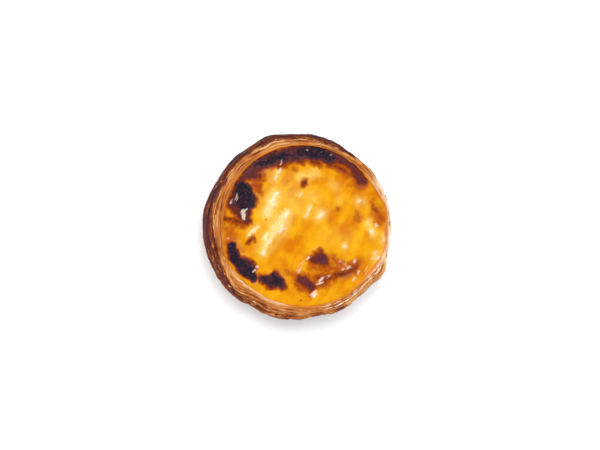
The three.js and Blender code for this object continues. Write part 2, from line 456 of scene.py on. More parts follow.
@dataclass(frozen=True)
class TartForm:
    """The tart's driving sizes and the rings of its sections, as in the part's source."""

    rim_radius: float = 37.2
    rim_oval: float = 0.55
    edge_height: float = 23.2
    rim_roll: float = 1.9
    roll_lean: float = 0.6
    crest_place: float = 0.4
    inner_radius: float = 32.4
    inner_shift: tuple[float, float] = (2.3, 0.4)
    inner_edge_height: float = 23.0
    base_radius: float = 24.6
    base_rounding: float = 2.2
    lowest_ledge: float = 0.06
    wall_belly: float = 1.4
    wall_thickness_low: float = 3.2
    floor_thickness: float = 2.6
    floor_rounding: float = 1.5
    wall_ledges: int = 9
    ledge_profile: tuple[tuple[float, float], ...] = ((0.12, -0.35), (0.82, 0.65))
    ledge_depth: float = 0.5
    ledge_sway: float = 0.45
    rim_leaves: int = 5
    leaf_profile: tuple[tuple[float, float], ...] = ((0.08, -0.4), (0.42, 1), (0.72, 0.7))
    leaf_height: float = 0.75
    leaf_slant: float = 0.3
    leaf_sway: float = 0.4
    own_sway: float = 0.15
    swell_lift: float = 0.35
    rim_wave: float = 0.25
    rim_swells: tuple[Swell, ...] = (
        Swell(55, -0.75, 13),
        Swell(76, 0.25, 9),
        Swell(108, 1.0, 7),
        Swell(150, -0.75, 10),
        Swell(176, 0.25, 12),
        Swell(239, -1.0, 7),
        Swell(281, -0.75, 7),
        Swell(300, 0.5, 8),
        Swell(332, 2, 7),
    )
    opening_swells: tuple[Swell, ...] = (
        Swell(12, 1.6, 12),
        Swell(75, -0.6, 40),
        Swell(202, 0.8, 22),
        Swell(268, -0.8, 32),
        Swell(346, 1.9, 11),
    )

    def swell(self, swells: tuple[Swell, ...], angle: np.ndarray) -> np.ndarray:
        """Adds up the bulges and pinches of a list.

        Args:
            swells: The list.
            angle: Angles in radians.

        Returns:
            How far the ring stands out at each angle.
        """
        degrees = np.degrees(angle)
        total = np.zeros_like(angle)
        for s in swells:
            total += s.out * bell(turn_between(degrees, s.at), s.spread)
        return total

    def outline(self, angle: np.ndarray) -> np.ndarray:
        """Gives the rim's outer radius at each angle."""
        oval = self.rim_oval * np.cos(2 * angle)
        return self.rim_radius + oval + self.swell(self.rim_swells, angle)

    def opening(self, angle: np.ndarray) -> np.ndarray:
        """Gives the rim's inner radius at each angle."""
        shift = self.inner_shift[0] * np.cos(angle) + self.inner_shift[1] * np.sin(angle)
        return self.inner_radius + shift + self.swell(self.opening_swells, angle)

    def rim_width(self, angle: np.ndarray) -> np.ndarray:
        """Gives the rim's width at each angle."""
        return self.outline(angle) - self.opening(angle)

    def edge(self, angle: np.ndarray) -> np.ndarray:
        """Gives the height of the widest place at each angle."""
        lift = self.swell_lift * self.swell(self.rim_swells, angle)
        return self.edge_height + lift + self.rim_wave * sway(angle, 7)

    def crest(self, angle: np.ndarray) -> np.ndarray:
        """Gives the height of the rim's crest at each angle."""
        return self.edge(angle) + self.rim_roll - self.roll_lean * np.cos(angle)

    def wall_outside(self, share: np.ndarray, angle: np.ndarray) -> tuple[np.ndarray, np.ndarray]:
        """Gives radii and heights of the smooth wall's outside, at a share of its height."""
        out = 1 - (1 - clamp01(share)) ** self.wall_belly
        return mix(self.base_radius, self.outline(angle), out), share * self.edge(angle)

    def wall_inside(self, share: float, angle: np.ndarray) -> tuple[np.ndarray, np.ndarray]:
        """Gives the wall's inside.

        Args:
            share: Share of the wall's height.
            angle: Angles in radians.

        Returns:
            Radii and heights.
        """
        radius, _ = self.wall_outside(share, angle)
        thickness = mix(self.wall_thickness_low, self.rim_width(angle), share**1.5)
        height = mix(self.floor_thickness, self.inner_edge_height, share)
        return radius - thickness, np.full_like(angle, height)

    def base_rings(self, angle: np.ndarray) -> list[tuple[np.ndarray, np.ndarray]]:
        """Gives the rings of the underside, from its middle outwards.

        Args:
            angle: Angles in radians.

        Returns:
            The radii and heights of each ring.
        """
        flat = self.base_radius - self.base_rounding
        none = np.zeros_like(angle)
        turned = flat + 0.72 * self.base_rounding + 0.2 * sway(angle, 5)
        return [(none, none), (none + flat, none), (turned, none + 0.5)]

    def wall_rings(self, angle: np.ndarray) -> list[tuple[np.ndarray, np.ndarray]]:
        """Gives the roots and lips of the wall's ledges, from the lowest up.

        Args:
            angle: Angles in radians.

        Returns:
            The radii and heights of each ring.
        """
        rings = []
        for ledge in range(self.wall_ledges):
            fade = min(1, ledge / 2) * min(1, (self.wall_ledges - 1 - ledge) / 2)
            shared = self.ledge_sway * sway(angle + 0.12 * ledge, 20)
            shift = fade * (shared + self.own_sway * sway(angle, 21 + ledge, 4))
            depth = self.ledge_depth * (1 + 0.45 * sway(angle, 40 + ledge, 4))
            for place, out in self.ledge_profile:
                share = mix(self.lowest_ledge, 1, (ledge + place + shift) / self.wall_ledges)
                radius, height = self.wall_outside(share, angle)
                rings.append((radius + out * depth, height))
        return rings

    def rim_back(self, share: np.ndarray, angle: np.ndarray) -> tuple[np.ndarray, np.ndarray]:
        """Gives the rim's rounded back before its leaves.

        Args:
            share: Share of the rim's width, from its outside.
            angle: Angles in radians.

        Returns:
            Radii and heights.
        """
        outside = share < self.crest_place
        low = np.where(outside, self.edge(angle), self.inner_edge_height)
        rise = np.where(outside, share / self.crest_place, (1 - share) / (1 - self.crest_place))
        height = mix(low, self.crest(angle), np.sqrt(clamp01(1 - (1 - rise) ** 2)))
        return self.outline(angle) - self.rim_width(angle) * share, height

    def rim_rings(self, angle: np.ndarray) -> list[tuple[np.ndarray, np.ndarray]]:
        """Gives the grooves and raised edges of the rim's leaves, from the outside in.

        Args:
            angle: Angles in radians.

        Returns:
            The radii and heights of each ring.
        """
        rings = []
        narrow = clamp01(self.rim_width(angle) / self.rim_leaves)
        for leaf in range(self.rim_leaves):
            shared = self.leaf_sway * sway(angle + 0.1 * leaf, 60, 4)
            height = narrow * self.leaf_height * (0.6 + 0.4 * sway(angle, 80 + leaf, 5))
            for place, up in self.leaf_profile:
                fade = math.sin(math.pi * (leaf + place) / self.rim_leaves)
                shift = fade * (shared + self.own_sway * sway(angle, 61 + leaf, 5))
                share = (leaf + place + shift) / self.rim_leaves
                back_radius, back_height = self.rim_back(share, angle)
                slant = self.leaf_slant * up * np.where(share < self.crest_place, 1, -0.4)
                top = back_height + up * height * (1 - 0.5 * share)
                rings.append((back_radius + slant * height, top))
        return rings

    def inside_rings(self, angle: np.ndarray) -> list[tuple[np.ndarray, np.ndarray]]:
        """Gives the rings of the cup's inside, down to the middle of its floor.

        Args:
            angle: Angles in radians.

        Returns:
            The radii and heights of each ring.
        """
        rings = [self.wall_inside(share, angle) for share in (0.97, 0.75, 0.5, 0.25)]
        none = np.zeros_like(angle)
        floor = none + self.floor_thickness
        edge, _ = self.wall_inside(0.0, angle)
        return [*rings, (edge - self.floor_rounding, floor), (none, floor)]

    def first_rim(self) -> int:
        """Gives the number of the rim's outermost ring."""
        return BASE_RINGS + len(self.ledge_profile) * self.wall_ledges

    def last_rim(self) -> int:
        """Gives the number of the ring after the rim's innermost."""
        return self.first_rim() + len(self.leaf_profile) * self.rim_leaves

    def cup_rings(self, angle: np.ndarray) -> tuple[np.ndarray, np.ndarray]:
        """Gives all rings of the cup.

        Args:
            angle: Angles in radians.

        Returns:
            Radii and heights, one row for each ring.
        """
        rings = self.base_rings(angle) + self.wall_rings(angle)
        rings += self.rim_rings(angle) + self.inside_rings(angle)
        return np.array([r for r, _ in rings]), np.array([z for _, z in rings])

    def middle(self) -> np.ndarray:
        """Finds the middle of the tart's outline, which stands over the origin.

        Returns:
            Its place on the ground, in millimetres.
        """
        angle = all_round(SOLID_STEPS)
        radius, _ = self.cup_rings(angle)
        x, y = radius * np.cos(angle), radius * np.sin(angle)
        return np.array([x.max() + x.min(), y.max() + y.min(), 0.0]) / 2


# The custard's marks, measured from the middle of the opening

HILLS = (
    Hill(-4, -7.5, 12, -1.2),
    Hill(-22.8, 11.2, 5.4, 1.5),
    Hill(-11.2, -21.1, 5, 1.1),
    Hill(7.2, -11.9, 4.6, 0.8),
    Hill(1.8, -22.8, 4.4, 0.9),
    Hill(17.5, -17.2, 5, 0.8),
    Hill(0.5, 17.1, 2.8, 0.6),
    Hill(21, 4.4, 3.4, 0.6),
    Hill(30, 4.6, 4.2, 0.6),
    Hill(-21, -6, 3.4, 0.5),
    Hill(8, 5, 7, 0.6),
    Hill(-10, 18, 6, 0.5),
    Hill(17, -7, 6, -0.5),
)

LONG_SWELLS = (
    LongSwell(29.2, 38, 142, 4.1, 1.1),
    LongSwell(28.6, 194, 224, 3.7, 1.0),
)

LONG_FOLDS = (
    Stroke(((-16.5, -10.5, 1.0), (-6.5, 4.0, 1.0)), 0.9),
    Stroke(((-14.5, 4.0, 1.0), (-11.0, 12.0, 1.0)), 0.6),
)

LEFT_CLIMB = Side(176, 34)
RIGHT_CLIMB = Side(357, 24)
BROWN_EDGE = Side(178, 42)

SCORCHES = (
    # the long arc at the back, from its left end to its right end
    Stroke(((-24.6, 18.4, 1.8), (-22.4, 20.6, 2.6), (-18.8, 23.0, 3.2)), 0.66, 1.9),
    Stroke(((-20.6, 19.2, 1.4), (-17.4, 19.6, 1.6)), 0.6, 1.8),
    Stroke(
        (
            (-18.6, 23.8, 2.3),
            (-14.2, 26.0, 2.5),
            (-9.8, 27.4, 2.7),
            (-5.4, 28.5, 2.8),
            (-0.9, 29.0, 3.0),
            (3.5, 29.0, 3.0),
            (7.9, 28.2, 2.7),
            (11.0, 27.2, 2.2),
        ),
        0.8,
        1.5,
    ),
    Stroke(((8.0, 28.6, 2.6), (12.8, 27.8, 2.4), (17.0, 26.4, 2.2), (20.6, 23.8, 2.0)), 0.66, 1.5),
    Stroke(
        ((-18.2, 24.4, 1.0), (-13.4, 25.6, 1.4), (-8.6, 27.8, 1.3), (-5.6, 28.4, 1.0)), 1.15, 1.5
    ),
    Stroke(((-1.6, 29.2, 1.4), (4.0, 29.4, 1.8), (8.4, 28.4, 1.6), (12.0, 27.0, 0.9)), 1.3, 1.6),
    Stroke(((-15.6, 23.0, 1.0), (-11.4, 24.6, 1.1), (-7.0, 25.4, 1.1)), 0.6, 1.4),
    Stroke(((-9.6, 23.6, 1.0), (-7.4, 23.8, 0.9)), 0.56, 1.3),
    Stroke(((-3.2, 26.2, 0.9), (0.0, 25.5, 1.0)), 0.56, 1.3),
    Stroke(((3.8, 25.8, 1.1), (6.6, 24.6, 1.2)), 0.6, 1.3),
    Stroke(((10.4, 24.6, 1.0), (14.4, 23.6, 1.3), (18.8, 20.6, 1.4)), 0.5, 1.6),
    Stroke(((20.2, 23.0, 2.1), (23.0, 20.4, 2.7), (23.6, 18.0, 2.7)), 0.62, 1.7),
    Stroke(((21.2, 20.6, 0.9), (23.4, 18.0, 1.2)), 0.8, 1.6),
    # the blister on the left and what surrounds it
    Stroke(((-25.2, 15.4, 1.6), (-24.0, 12.6, 3.5), (-23.6, 9.6, 3.5)), 1.2, 1.2),
    Stroke(((-24.4, 12.0, 3.6), (-22.0, 10.8, 2.6)), 0.74, 1.5),
    Stroke(((-23.0, 13.6, 1.4), (-21.4, 11.4, 1.6), (-22.2, 8.0, 1.4)), 0.95, 1.4),
    Stroke(((-22.4, 7.0, 1.4), (-22.2, 5.0, 1.2)), 0.74, 1.3),
    Stroke(((-28.0, 0.8, 1.1), (-24.8, 0.0, 1.4)), 0.42, 1.5),
    Stroke(((-27.4, 13.2, 1.6), (-28.8, 8.8, 1.8), (-26.4, 6.6, 2.0)), 0.7, 1.5),
    Stroke(((-25.4, 18.8, 1.5), (-25.6, 15.4, 1.5)), 0.62, 1.8),
    Stroke(((-31.0, 2.9, 0.9), (-28.6, 2.4, 1.4), (-24.8, 1.6, 1.8)), 0.5, 1.4),
    Stroke(((-24.6, 5.2, 2.4), (-23.0, 2.4, 1.8)), 0.7, 1.5),
    Stroke(((-18.8, 15.6, 1.9), (-17.8, 13.4, 1.2)), 0.42, 1.7),
    Stroke(((-29.8, -2.2, 2.0), (-28.8, -5.0, 1.8)), 0.28, 1.6),
    Stroke(((-30.8, -6.4, 0.9), (-30.6, -9.4, 0.9)), 0.3, 1.4),
    # the arc at the lower left
    Stroke(
        (
            (-28.6, -8.0, 1.4),
            (-28.4, -10.2, 1.6),
            (-27.2, -13.4, 1.6),
            (-25.2, -16.0, 1.9),
            (-22.7, -18.2, 2.2),
            (-20.8, -20.8, 1.2),
        ),
        1.25,
        1.0,
    ),
    Stroke(((-25.8, -13.0, 0.9), (-20.8, -16.0, 1.5)), 0.84, 1.2),
    Stroke(((-26.0, -8.3, 1.2), (-24.2, -10.0, 1.0)), 0.26, 1.5),
    Stroke(((-22.0, -6.8, 0.9), (-19.8, -5.0, 0.9)), 0.5, 1.0),
    # the blob in front
    Stroke(((-17.0, -21.0, 1.2), (-13.0, -21.8, 2.7), (-10.8, -22.0, 2.3)), 0.95, 1.2),
    Stroke(((-10.2, -22.6, 1.6), (-8.2, -24.2, 1.0)), 0.84, 1.1),
    Stroke(((-12.0, -19.3, 1.5),), 0.92, 1.1),
    Stroke(((-18.4, -19.8, 1.0), (-16.8, -20.6, 1.0)), 0.4, 1.4),
    Stroke(((-7.0, -18.2, 1.0), (-4.6, -19.0, 0.9)), 0.34, 1.5),
    # the patch right of the middle, and the brown field below it
    Stroke(((3.6, -13.6, 1.5), (6.4, -13.0, 2.5), (9.2, -14.6, 1.5)), 0.7, 1.8),
    Stroke(((7.2, -10.0, 0.7), (6.8, -12.0, 1.4)), 0.6, 1.5),
    Stroke(((5.2, -13.6, 1.1), (7.2, -13.0, 1.2)), 0.76, 1.5),
    Stroke(
        ((3.6, -16.0, 1.8), (8.4, -16.4, 2.6), (14.0, -16.8, 2.2), (19.0, -17.4, 1.4)), 0.33, 2.6
    ),
    Stroke(((12.0, -13.6, 1.6), (15.6, -14.8, 1.4)), 0.36, 2.4),
    Stroke(((4.6, -15.3, 0.5), (7.6, -15.4, 0.5), (10.6, -14.9, 0.5)), 0.62, 1.2),
    Stroke(((18.0, -15.2, 0.8), (23.1, -14.0, 0.8)), 0.34, 1.8),
    Stroke(
        ((6.6, -23.0, 1.2), (10.9, -20.6, 1.5), (15.3, -18.8, 1.8), (20.3, -17.0, 1.8)), 0.5, 1.8
    ),
    Stroke(((12.8, -19.4, 0.7), (15.4, -18.8, 0.8)), 0.6, 1.3),
    Stroke(((19.6, -17.4, 1.3), (21.8, -15.8, 1.1)), 0.5, 1.6),
    Stroke(((25.0, -8.6, 1.0),), 0.12, 1.6),
    # the patch at the front
    Stroke(((-1.8, -21.2, 1.6), (0.4, -22.0, 2.5), (3.0, -23.8, 2.1)), 0.66, 1.8),
    Stroke(((-0.4, -21.2, 1.1), (2.4, -23.8, 1.1)), 0.84, 1.5),
    Stroke(((2.2, -24.6, 0.7), (2.7, -27.0, 0.4)), 0.56, 1.3),
    Stroke(((5.4, -20.6, 1.1), (9.6, -20.6, 1.3)), 0.5, 1.6),
    Stroke(((8.4, -24.2, 1.0), (12.6, -21.8, 0.9)), 0.3, 1.6),
    Stroke(((-3.2, -23.0, 1.6), (-1.8, -24.8, 1.2)), 0.34, 1.6),
    # the spots on the right and at the back
    Stroke(((28.6, 9.2, 1.1), (29.9, 5.8, 2.0), (31.7, 2.4, 1.7)), 0.34, 2.2),
    Stroke(((29.0, 7.8, 0.8), (30.2, 5.0, 1.0)), 0.5, 1.4),
    Stroke(((31.6, 7.2, 0.8),), 0.26, 1.5),
    Stroke(((0.5, 16.7, 1.3),), 0.52, 1.3),
    Stroke(((0.9, 16.6, 0.5),), 0.7, 0.9),
    Stroke(((21.4, 5.0, 1.1), (21.9, 2.8, 1.3)), 0.36, 1.9),
    Stroke(((14.1, 6.6, 0.8),), 0.4, 1.5),
    Stroke(((22.6, 12.0, 1.6), (24.4, 8.0, 1.4)), 0.16, 1.8),
    Stroke(((-1.6, -5.0, 2.4),), 0.16, 2.8),
    Stroke(((-3.8, 22.5, 1.3),), 0.34, 1.5),
    Stroke(((17.4, 19.8, 1.2),), 0.3, 1.5),
    Stroke(((19.4, 16.6, 1.6), (22.4, 14.4, 1.4)), 0.22, 2.1),
    Stroke(((-32.4, -1.0, 1.6), (-31.2, 6.6, 1.4)), 0.2, 1.7),
    # two dark specks
    Stroke(((-1.3, -29.6, 0.35),), 0.42, 0.5),
    Stroke(((-15.6, 2.9, 0.25),), 0.34, 0.4),
)

# Streaks where a soft lamp's reflection is painted into the skin's colour, as cream with near-white
# cores; the skin is also raised a little along them
PAINTED_SHEEN_STREAKS = (
    Stroke(((-11.4, 12.6, 1.8), (-13.0, 9.0, 2.4), (-15.0, 5.2, 2.0)), 1.0, 1.5),
    Stroke(
        (
            (-6.8, 5.2, 1.8),
            (-8.4, 2.2, 2.4),
            (-11.6, -0.9, 1.9),
            (-14.0, -4.6, 1.4),
            (-16.4, -9.8, 1.7),
        ),
        1.0,
        1.5,
    ),
    Stroke(((-11.5, 4.3, 1.4), (-12.6, 1.1, 1.4)), 0.7, 1.3),
    Stroke(((4.6, 20.9, 1.4), (1.2, 19.6, 1.4), (-2.4, 19.4, 1.0)), 0.7, 1.4),
    Stroke(((2.9, 11.9, 1.4), (4.6, 10.3, 1.1)), 0.45, 1.3),
    Stroke(((7.4, 4.9, 2.0), (6.2, 3.2, 1.4)), 0.7, 1.3),
    Stroke(((-18.7, -0.5, 1.1), (-20.9, -2.7, 1.2)), 0.66, 1.3),
    Stroke(((26.8, 1.6, 1.0), (28.4, -2.7, 1.4)), 0.8, 1.3),
    Stroke(((22.9, 10.0, 1.1), (24.0, 9.8, 0.7)), 0.8, 1.3),
    Stroke(((17.3, -8.1, 0.9),), 0.9, 1.3),
    Stroke(((30.1, -12.5, 1.7),), 0.7, 1.3),
    Stroke(((32.9, -4.3, 0.9), (32.3, -6.5, 0.9)), 0.7, 1.3),
    Stroke(((-9.4, 24.6, 1.0), (-10.4, 21.4, 1.7), (-11.6, 18.4, 1.3)), 0.8, 1.3),
    Stroke(((-13.5, 9.0, 3.6), (-10.5, 0.5, 3.6), (-15.5, -8.0, 1.6)), 0.34, 3.0),
    Stroke(((-8.5, 16.0, 3.0), (2.0, 9.0, 4.5)), 0.2, 3.5),
    Stroke(((10.1, -3.8, 3.3), (18.4, -5.4, 3.3)), 0.1, 2.5),
    Stroke(((-5.4, 11.9, 3.3), (-4.0, 7.0, 3.0)), 0.3, 1.3),
    Stroke(((12.4, 16.3, 1.7), (14.0, 15.2, 1.4)), 0.35, 1.3),
    Stroke(((14.6, 10.3, 1.7),), 0.3, 1.3),
    Stroke(((2.9, 7.6, 0.6), (0.7, 4.3, 0.7)), 0.75, 1.3),
    Stroke(((-1.8, 12.7, 0.8),), 0.9, 1.3),
)

WARM_AREAS = (
    Stroke(((-4.0, -7.5, 3.6), (-2.0, -6.0, 2.2)), 1.0, 2.6),
    Stroke(((8.0, 20.0, 2.5), (16.0, 17.0, 4.0), (23.0, 11.0, 3.0)), 0.8, 3.5),
    Stroke(((11.0, 5.0, 4.0), (17.0, 1.0, 4.0), (23.0, 0.0, 2.0)), 0.5, 3.0),
    Stroke(((23.0, 7.0, 2.5), (24.0, 1.0, 2.5)), 0.5, 3.0),
    Stroke(((-20.0, 16.5, 2.0), (-16.0, 18.5, 2.0), (-5.0, 22.5, 2.0), (8.0, 21.0, 2.0)), 0.7, 3.0),
    Stroke(((-30.0, 1.0, 3.0), (-27.0, -5.0, 3.0), (-24.6, -8.0, 1.6)), 0.75, 2.6),
    Stroke(((-16.0, -16.0, 3.0), (-6.0, -19.0, 4.0), (2.0, -17.5, 3.0)), 0.64, 4.0),
    Stroke(((-14.0, -27.5, 2.5), (0.0, -28.5, 3.5), (10.0, -26.0, 3.5)), 0.22, 3.0),
    Stroke(((10.0, -23.0, 3.0), (18.0, -21.5, 3.5), (22.5, -17.0, 2.0)), 0.65, 3.0),
    Stroke(((27.0, 13.0, 3.0), (31.5, 4.0, 3.0)), 0.7, 3.0),
    Stroke(((-6.0, 18.5, 2.4), (-3.0, 21.0, 2.0)), 0.9, 2.0),
)

# Small folds of the skin, each raised a little, that carry painted glints: a near-white highlight
# is painted into the colour along them
GLINT_FOLDS = (
    Stroke(((-9.1, 26.2, 0.5), (-9.6, 24.6, 0.5)), 0.3),
    Stroke(((1.0, 30.2, 0.3), (1.5, 29.8, 0.3)), 0.25),
    Stroke(((6.8, 30.0, 0.3), (7.0, 29.4, 0.3)), 0.25),
    Stroke(((10.6, 28.4, 0.3), (11.2, 28.0, 0.3)), 0.25),
    Stroke(((29.4, -10.8, 0.4), (30.0, -11.8, 0.4)), 0.4),
    Stroke(((28.2, -13.4, 0.4), (29.0, -12.8, 0.4)), 0.4),
    Stroke(((22.2, -19.4, 0.4), (23.2, -18.2, 0.4)), 0.35),
    Stroke(((20.0, -21.8, 0.4), (21.0, -20.8, 0.4)), 0.35),
    Stroke(((-9.4, 22.8, 0.6), (-10.6, 20.4, 0.6)), 0.35),
    Stroke(((-11.0, 20.0, 0.5), (-11.8, 18.2, 0.5)), 0.3),
    Stroke(((-10.8, 12.8, 0.7), (-13.0, 8.4, 0.8)), 0.4),
    Stroke(((-14.2, 7.6, 0.5), (-15.3, 5.6, 0.5)), 0.3),
    Stroke(((-6.8, 5.8, 0.7), (-8.0, 2.4, 0.8)), 0.4),
    Stroke(((-8.4, 1.4, 0.6), (-8.9, -0.6, 0.6)), 0.35),
    Stroke(((-6.8, 0.1, 0.6), (-10.6, -2.7, 0.7)), 0.4),
    Stroke(((-17.4, 0.3, 0.5), (-19.6, -1.0, 0.6), (-21.1, -3.0, 0.6), (-22.4, -4.0, 0.4)), 0.4),
    Stroke(((-13.0, -4.5, 0.6), (-14.2, -6.8, 0.6)), 0.35),
    Stroke(((-15.2, -8.8, 0.7), (-17.0, -11.4, 0.7)), 0.4),
    Stroke(((-26.2, 12.4, 0.5), (-27.6, 9.6, 0.5)), 0.3),
    Stroke(((-28.4, 10.6, 0.4), (-29.4, 8.8, 0.4)), 0.3),
    Stroke(((-23.6, 7.0, 0.7), (-24.2, 4.8, 0.9), (-24.0, 2.4, 0.6)), 0.42),
    Stroke(((-18.2, -15.5, 0.5), (-21.1, -17.9, 0.6)), 0.4),
    Stroke(((-0.9, 13.4, 0.5), (-2.0, 12.2, 0.6)), 0.35),
    Stroke(((3.4, 8.3, 0.45), (0.3, 3.1, 0.5)), 0.3),
    Stroke(((7.8, 5.8, 0.8), (5.8, 3.0, 0.8)), 0.35),
    Stroke(((22.2, 10.0, 0.6), (23.8, 10.4, 0.6)), 0.35),
    Stroke(((29.3, 0.3, 0.6), (30.4, 0.5, 0.6)), 0.4),
    Stroke(((27.2, -2.9, 0.7), (28.4, -1.9, 0.7)), 0.4),
    Stroke(((16.8, -8.8, 0.7), (17.4, -7.6, 0.7)), 0.45),
    Stroke(((3.6, -27.6, 1.1), (5.2, -26.4, 1.1)), 0.6),
    Stroke(((5.6, -23.0, 0.8), (7.6, -21.8, 0.8)), 0.42),
    Stroke(((8.8, -20.9, 0.5), (10.4, -19.8, 0.5)), 0.4),
    Stroke(((15.4, -17.1, 0.5), (19.4, -16.2, 0.5)), 0.4),
    Stroke(((20.2, -15.6, 0.4), (20.8, -13.6, 0.4)), 0.35),
    Stroke(((-1.1, -16.2, 0.5), (-1.8, -17.6, 0.5)), 0.35),
    Stroke(((-1.9, -18.2, 0.4), (-2.3, -19.1, 0.4)), 0.3),
    Stroke(((1.6, -13.2, 0.5), (2.3, -12.0, 0.5)), 0.35),
    Stroke(((29.2, -11.4, 0.5), (30.0, -10.6, 0.5)), 0.35),
    Stroke(((29.8, -13.4, 0.7), (31.2, -12.4, 0.7)), 0.4),
    Stroke(((33.0, -6.2, 0.45), (33.4, -4.4, 0.45)), 0.35),
)


class Pigment(Enum):
    """The colours of baked pastry and custard, and of the light painted on them, as red, green and
    blue from 0 to 255.
    """

    YOLK = (204, 140, 6)
    # the lighter yellow painted on the ridges of the skin's wrinkles as a highlight
    BRIGHT_YOLK = (218, 166, 12)
    DEEP_YOLK = (187, 104, 2)
    # colour of the painted reflection in the skin's pale streaks
    REFLECTION_CREAM = (211, 180, 92)
    AMBER = (155, 72, 10)
    RUSSET = (92, 33, 15)
    PLUM = (90, 43, 48)
    CHAR = (23, 22, 32)
    PALE_CRUST = (206, 160, 103)
    GOLD_CRUST = (186, 108, 40)
    BROWN_CRUST = (117, 54, 24)
    DARK_CRUST = (56, 25, 21)
    SOAKED_CRUST = (200, 116, 16)
    # near-white of painted glints and painted reflection, and of the palest pastry
    GLINT_AND_PALEST = (232, 210, 192)
    GROUND = (231, 233, 234)

    def linear(self) -> tuple[float, float, float, float]:
        """Turns the colour into the numbers that a shader takes.

        Returns:
            Linear red, green and blue from 0 to 1, and 1 for opaque.
        """
        parts = [c / 255 for c in self.value]
        r, g, b = (p / 12.92 if p < 0.04045 else ((p + 0.055) / 1.055) ** 2.4 for p in parts)
        return (r, g, b, 1.0)


# Materials


class Wiring:
    """Adds and joins the nodes of one material or group."""

    def __init__(self, tree: bpy.types.NodeTree) -> None:
        """Takes a node tree to work on, and empties it."""
        self.tree = tree
        tree.nodes.clear()

    def put(self, kind: str, **settings: object) -> bpy.types.Node:
        """Adds a node.

        Args:
            kind: The node's type, without its ShaderNode prefix.
            settings: Properties of the node to set.

        Returns:
            The node.
        """
        prefix = "" if kind.startswith("NodeGroup") else "ShaderNode"
        node = self.tree.nodes.new(prefix + kind)
        for key, value in settings.items():
            setattr(node, key, value)
        return node

    def feed(self, socket: bpy.types.NodeSocket, value: object) -> None:
        """Joins a socket to another, or sets its value.

        Args:
            socket: The input socket.
            value: An output socket, a number or a colour.
        """
        if isinstance(value, bpy.types.NodeSocket):
            self.tree.links.new(value, socket)
        elif isinstance(value, Pigment):
            socket.default_value = value.linear()
        else:
            socket.default_value = value

    def mark(self, name: str, output: str = "Fac") -> bpy.types.NodeSocket:
        """Reads a value stored on the piece: Fac for a number, Vector for a vector."""
        return self.put("Attribute", attribute_name=name).outputs[output]

    def place(self) -> bpy.types.NodeSocket:
        """Gives the place on the piece, in metres."""
        return self.put("TexCoord").outputs["Object"]

    def sum(self, kind: str, a: object, b: object, clamp: bool = False) -> bpy.types.NodeSocket:
        """Adds a calculation with two numbers.

        Args:
            kind: The Math node's operation.
            a: The first number or socket.
            b: The second number or socket.
            clamp: Whether the result is kept between 0 and 1.

        Returns:
            The output socket.
        """
        node = self.put("Math", operation=kind, use_clamp=clamp)
        self.feed(node.inputs[0], a)
        self.feed(node.inputs[1], b)
        return node.outputs[0]

    def spread(
        self, value: object, low: float, high: float, to_low: float = 0, to_high: float = 1
    ) -> bpy.types.NodeSocket:
        """Maps a range smoothly to another.

        Args:
            value: The number or socket.
            low: Start of its range.
            high: End of its range.
            to_low: What the start becomes.
            to_high: What the end becomes.

        Returns:
            The output socket.
        """
        node = self.put("MapRange", interpolation_type="SMOOTHSTEP")
        for socket, part in zip(node.inputs, (value, low, high, to_low, to_high)):
            self.feed(socket, part)
        return node.outputs["Result"]

    def noise(
        self, place: object, scale: float, detail: float = 2, rough: float = 0.5
    ) -> bpy.types.NodeSocket:
        """Adds a cloudy noise.

        Args:
            place: The socket that says where.
            scale: Lumps per unit of length.
            detail: Number of finer layers.
            rough: Strength of the finer layers.

        Returns:
            The output socket, about 0.5 on average.
        """
        node = self.put("TexNoise")
        self.feed(node.inputs["Vector"], place)
        self.feed(node.inputs["Scale"], scale)
        self.feed(node.inputs["Detail"], detail)
        self.feed(node.inputs["Roughness"], rough)
        return node.outputs["Fac"]

    def blend(self, share: object, a: object, b: object) -> bpy.types.NodeSocket:
        """Blends two colours.

        Args:
            share: How much of the second colour.
            a: The first colour or socket.
            b: The second colour or socket.

        Returns:
            The output socket.
        """
        node = self.put("Mix", data_type="RGBA")
        self.feed(node.inputs["Factor"], share)
        self.feed(node.inputs[6], a)
        self.feed(node.inputs[7], b)
        return node.outputs[2]

    def group(self, tree: bpy.types.NodeTree, **values: object) -> bpy.types.Node:
        """Places a shared effect.

        Args:
            tree: The effect's node group.
            values: Its inputs by name, with _ for a space.

        Returns:
            The group node.
        """
        node = self.put("Group")
        node.node_tree = tree
        for key, value in values.items():
            self.feed(node.inputs[key.replace("_", " ")], value)
        return node

    def finish(self, colour: object, roughness: object, height: object, **values: object) -> None:
        """Adds the surface shader and the output.

        Args:
            colour: The base colour's socket.
            roughness: The roughness's socket.
            height: The relief's socket, in metres.
            values: Other inputs of the surface shader by name, with _ for a space.
        """
        shader = self.put("BsdfPrincipled")
        self.feed(shader.inputs["Base Color"], colour)
        self.feed(shader.inputs["Roughness"], roughness)
        for key, value in values.items():
            self.feed(shader.inputs[key.replace("_", " ")], value)
        bump = self.put("Bump")
        self.feed(bump.inputs["Distance"], 1.0)
        self.feed(bump.inputs["Height"], height)
        self.feed(shader.inputs["Normal"], bump.outputs[0])
        self.feed(self.put("OutputMaterial").inputs["Surface"], shader.outputs[0])


def new_material(name: str) -> tuple[bpy.types.Material, Wiring]:
    """Starts a material.

    Args:
        name: Its name.

    Returns:
        The material and its wiring.
    """
    material = bpy.data.materials.new(name)
    material.use_nodes = True
    return material, Wiring(material.node_tree)


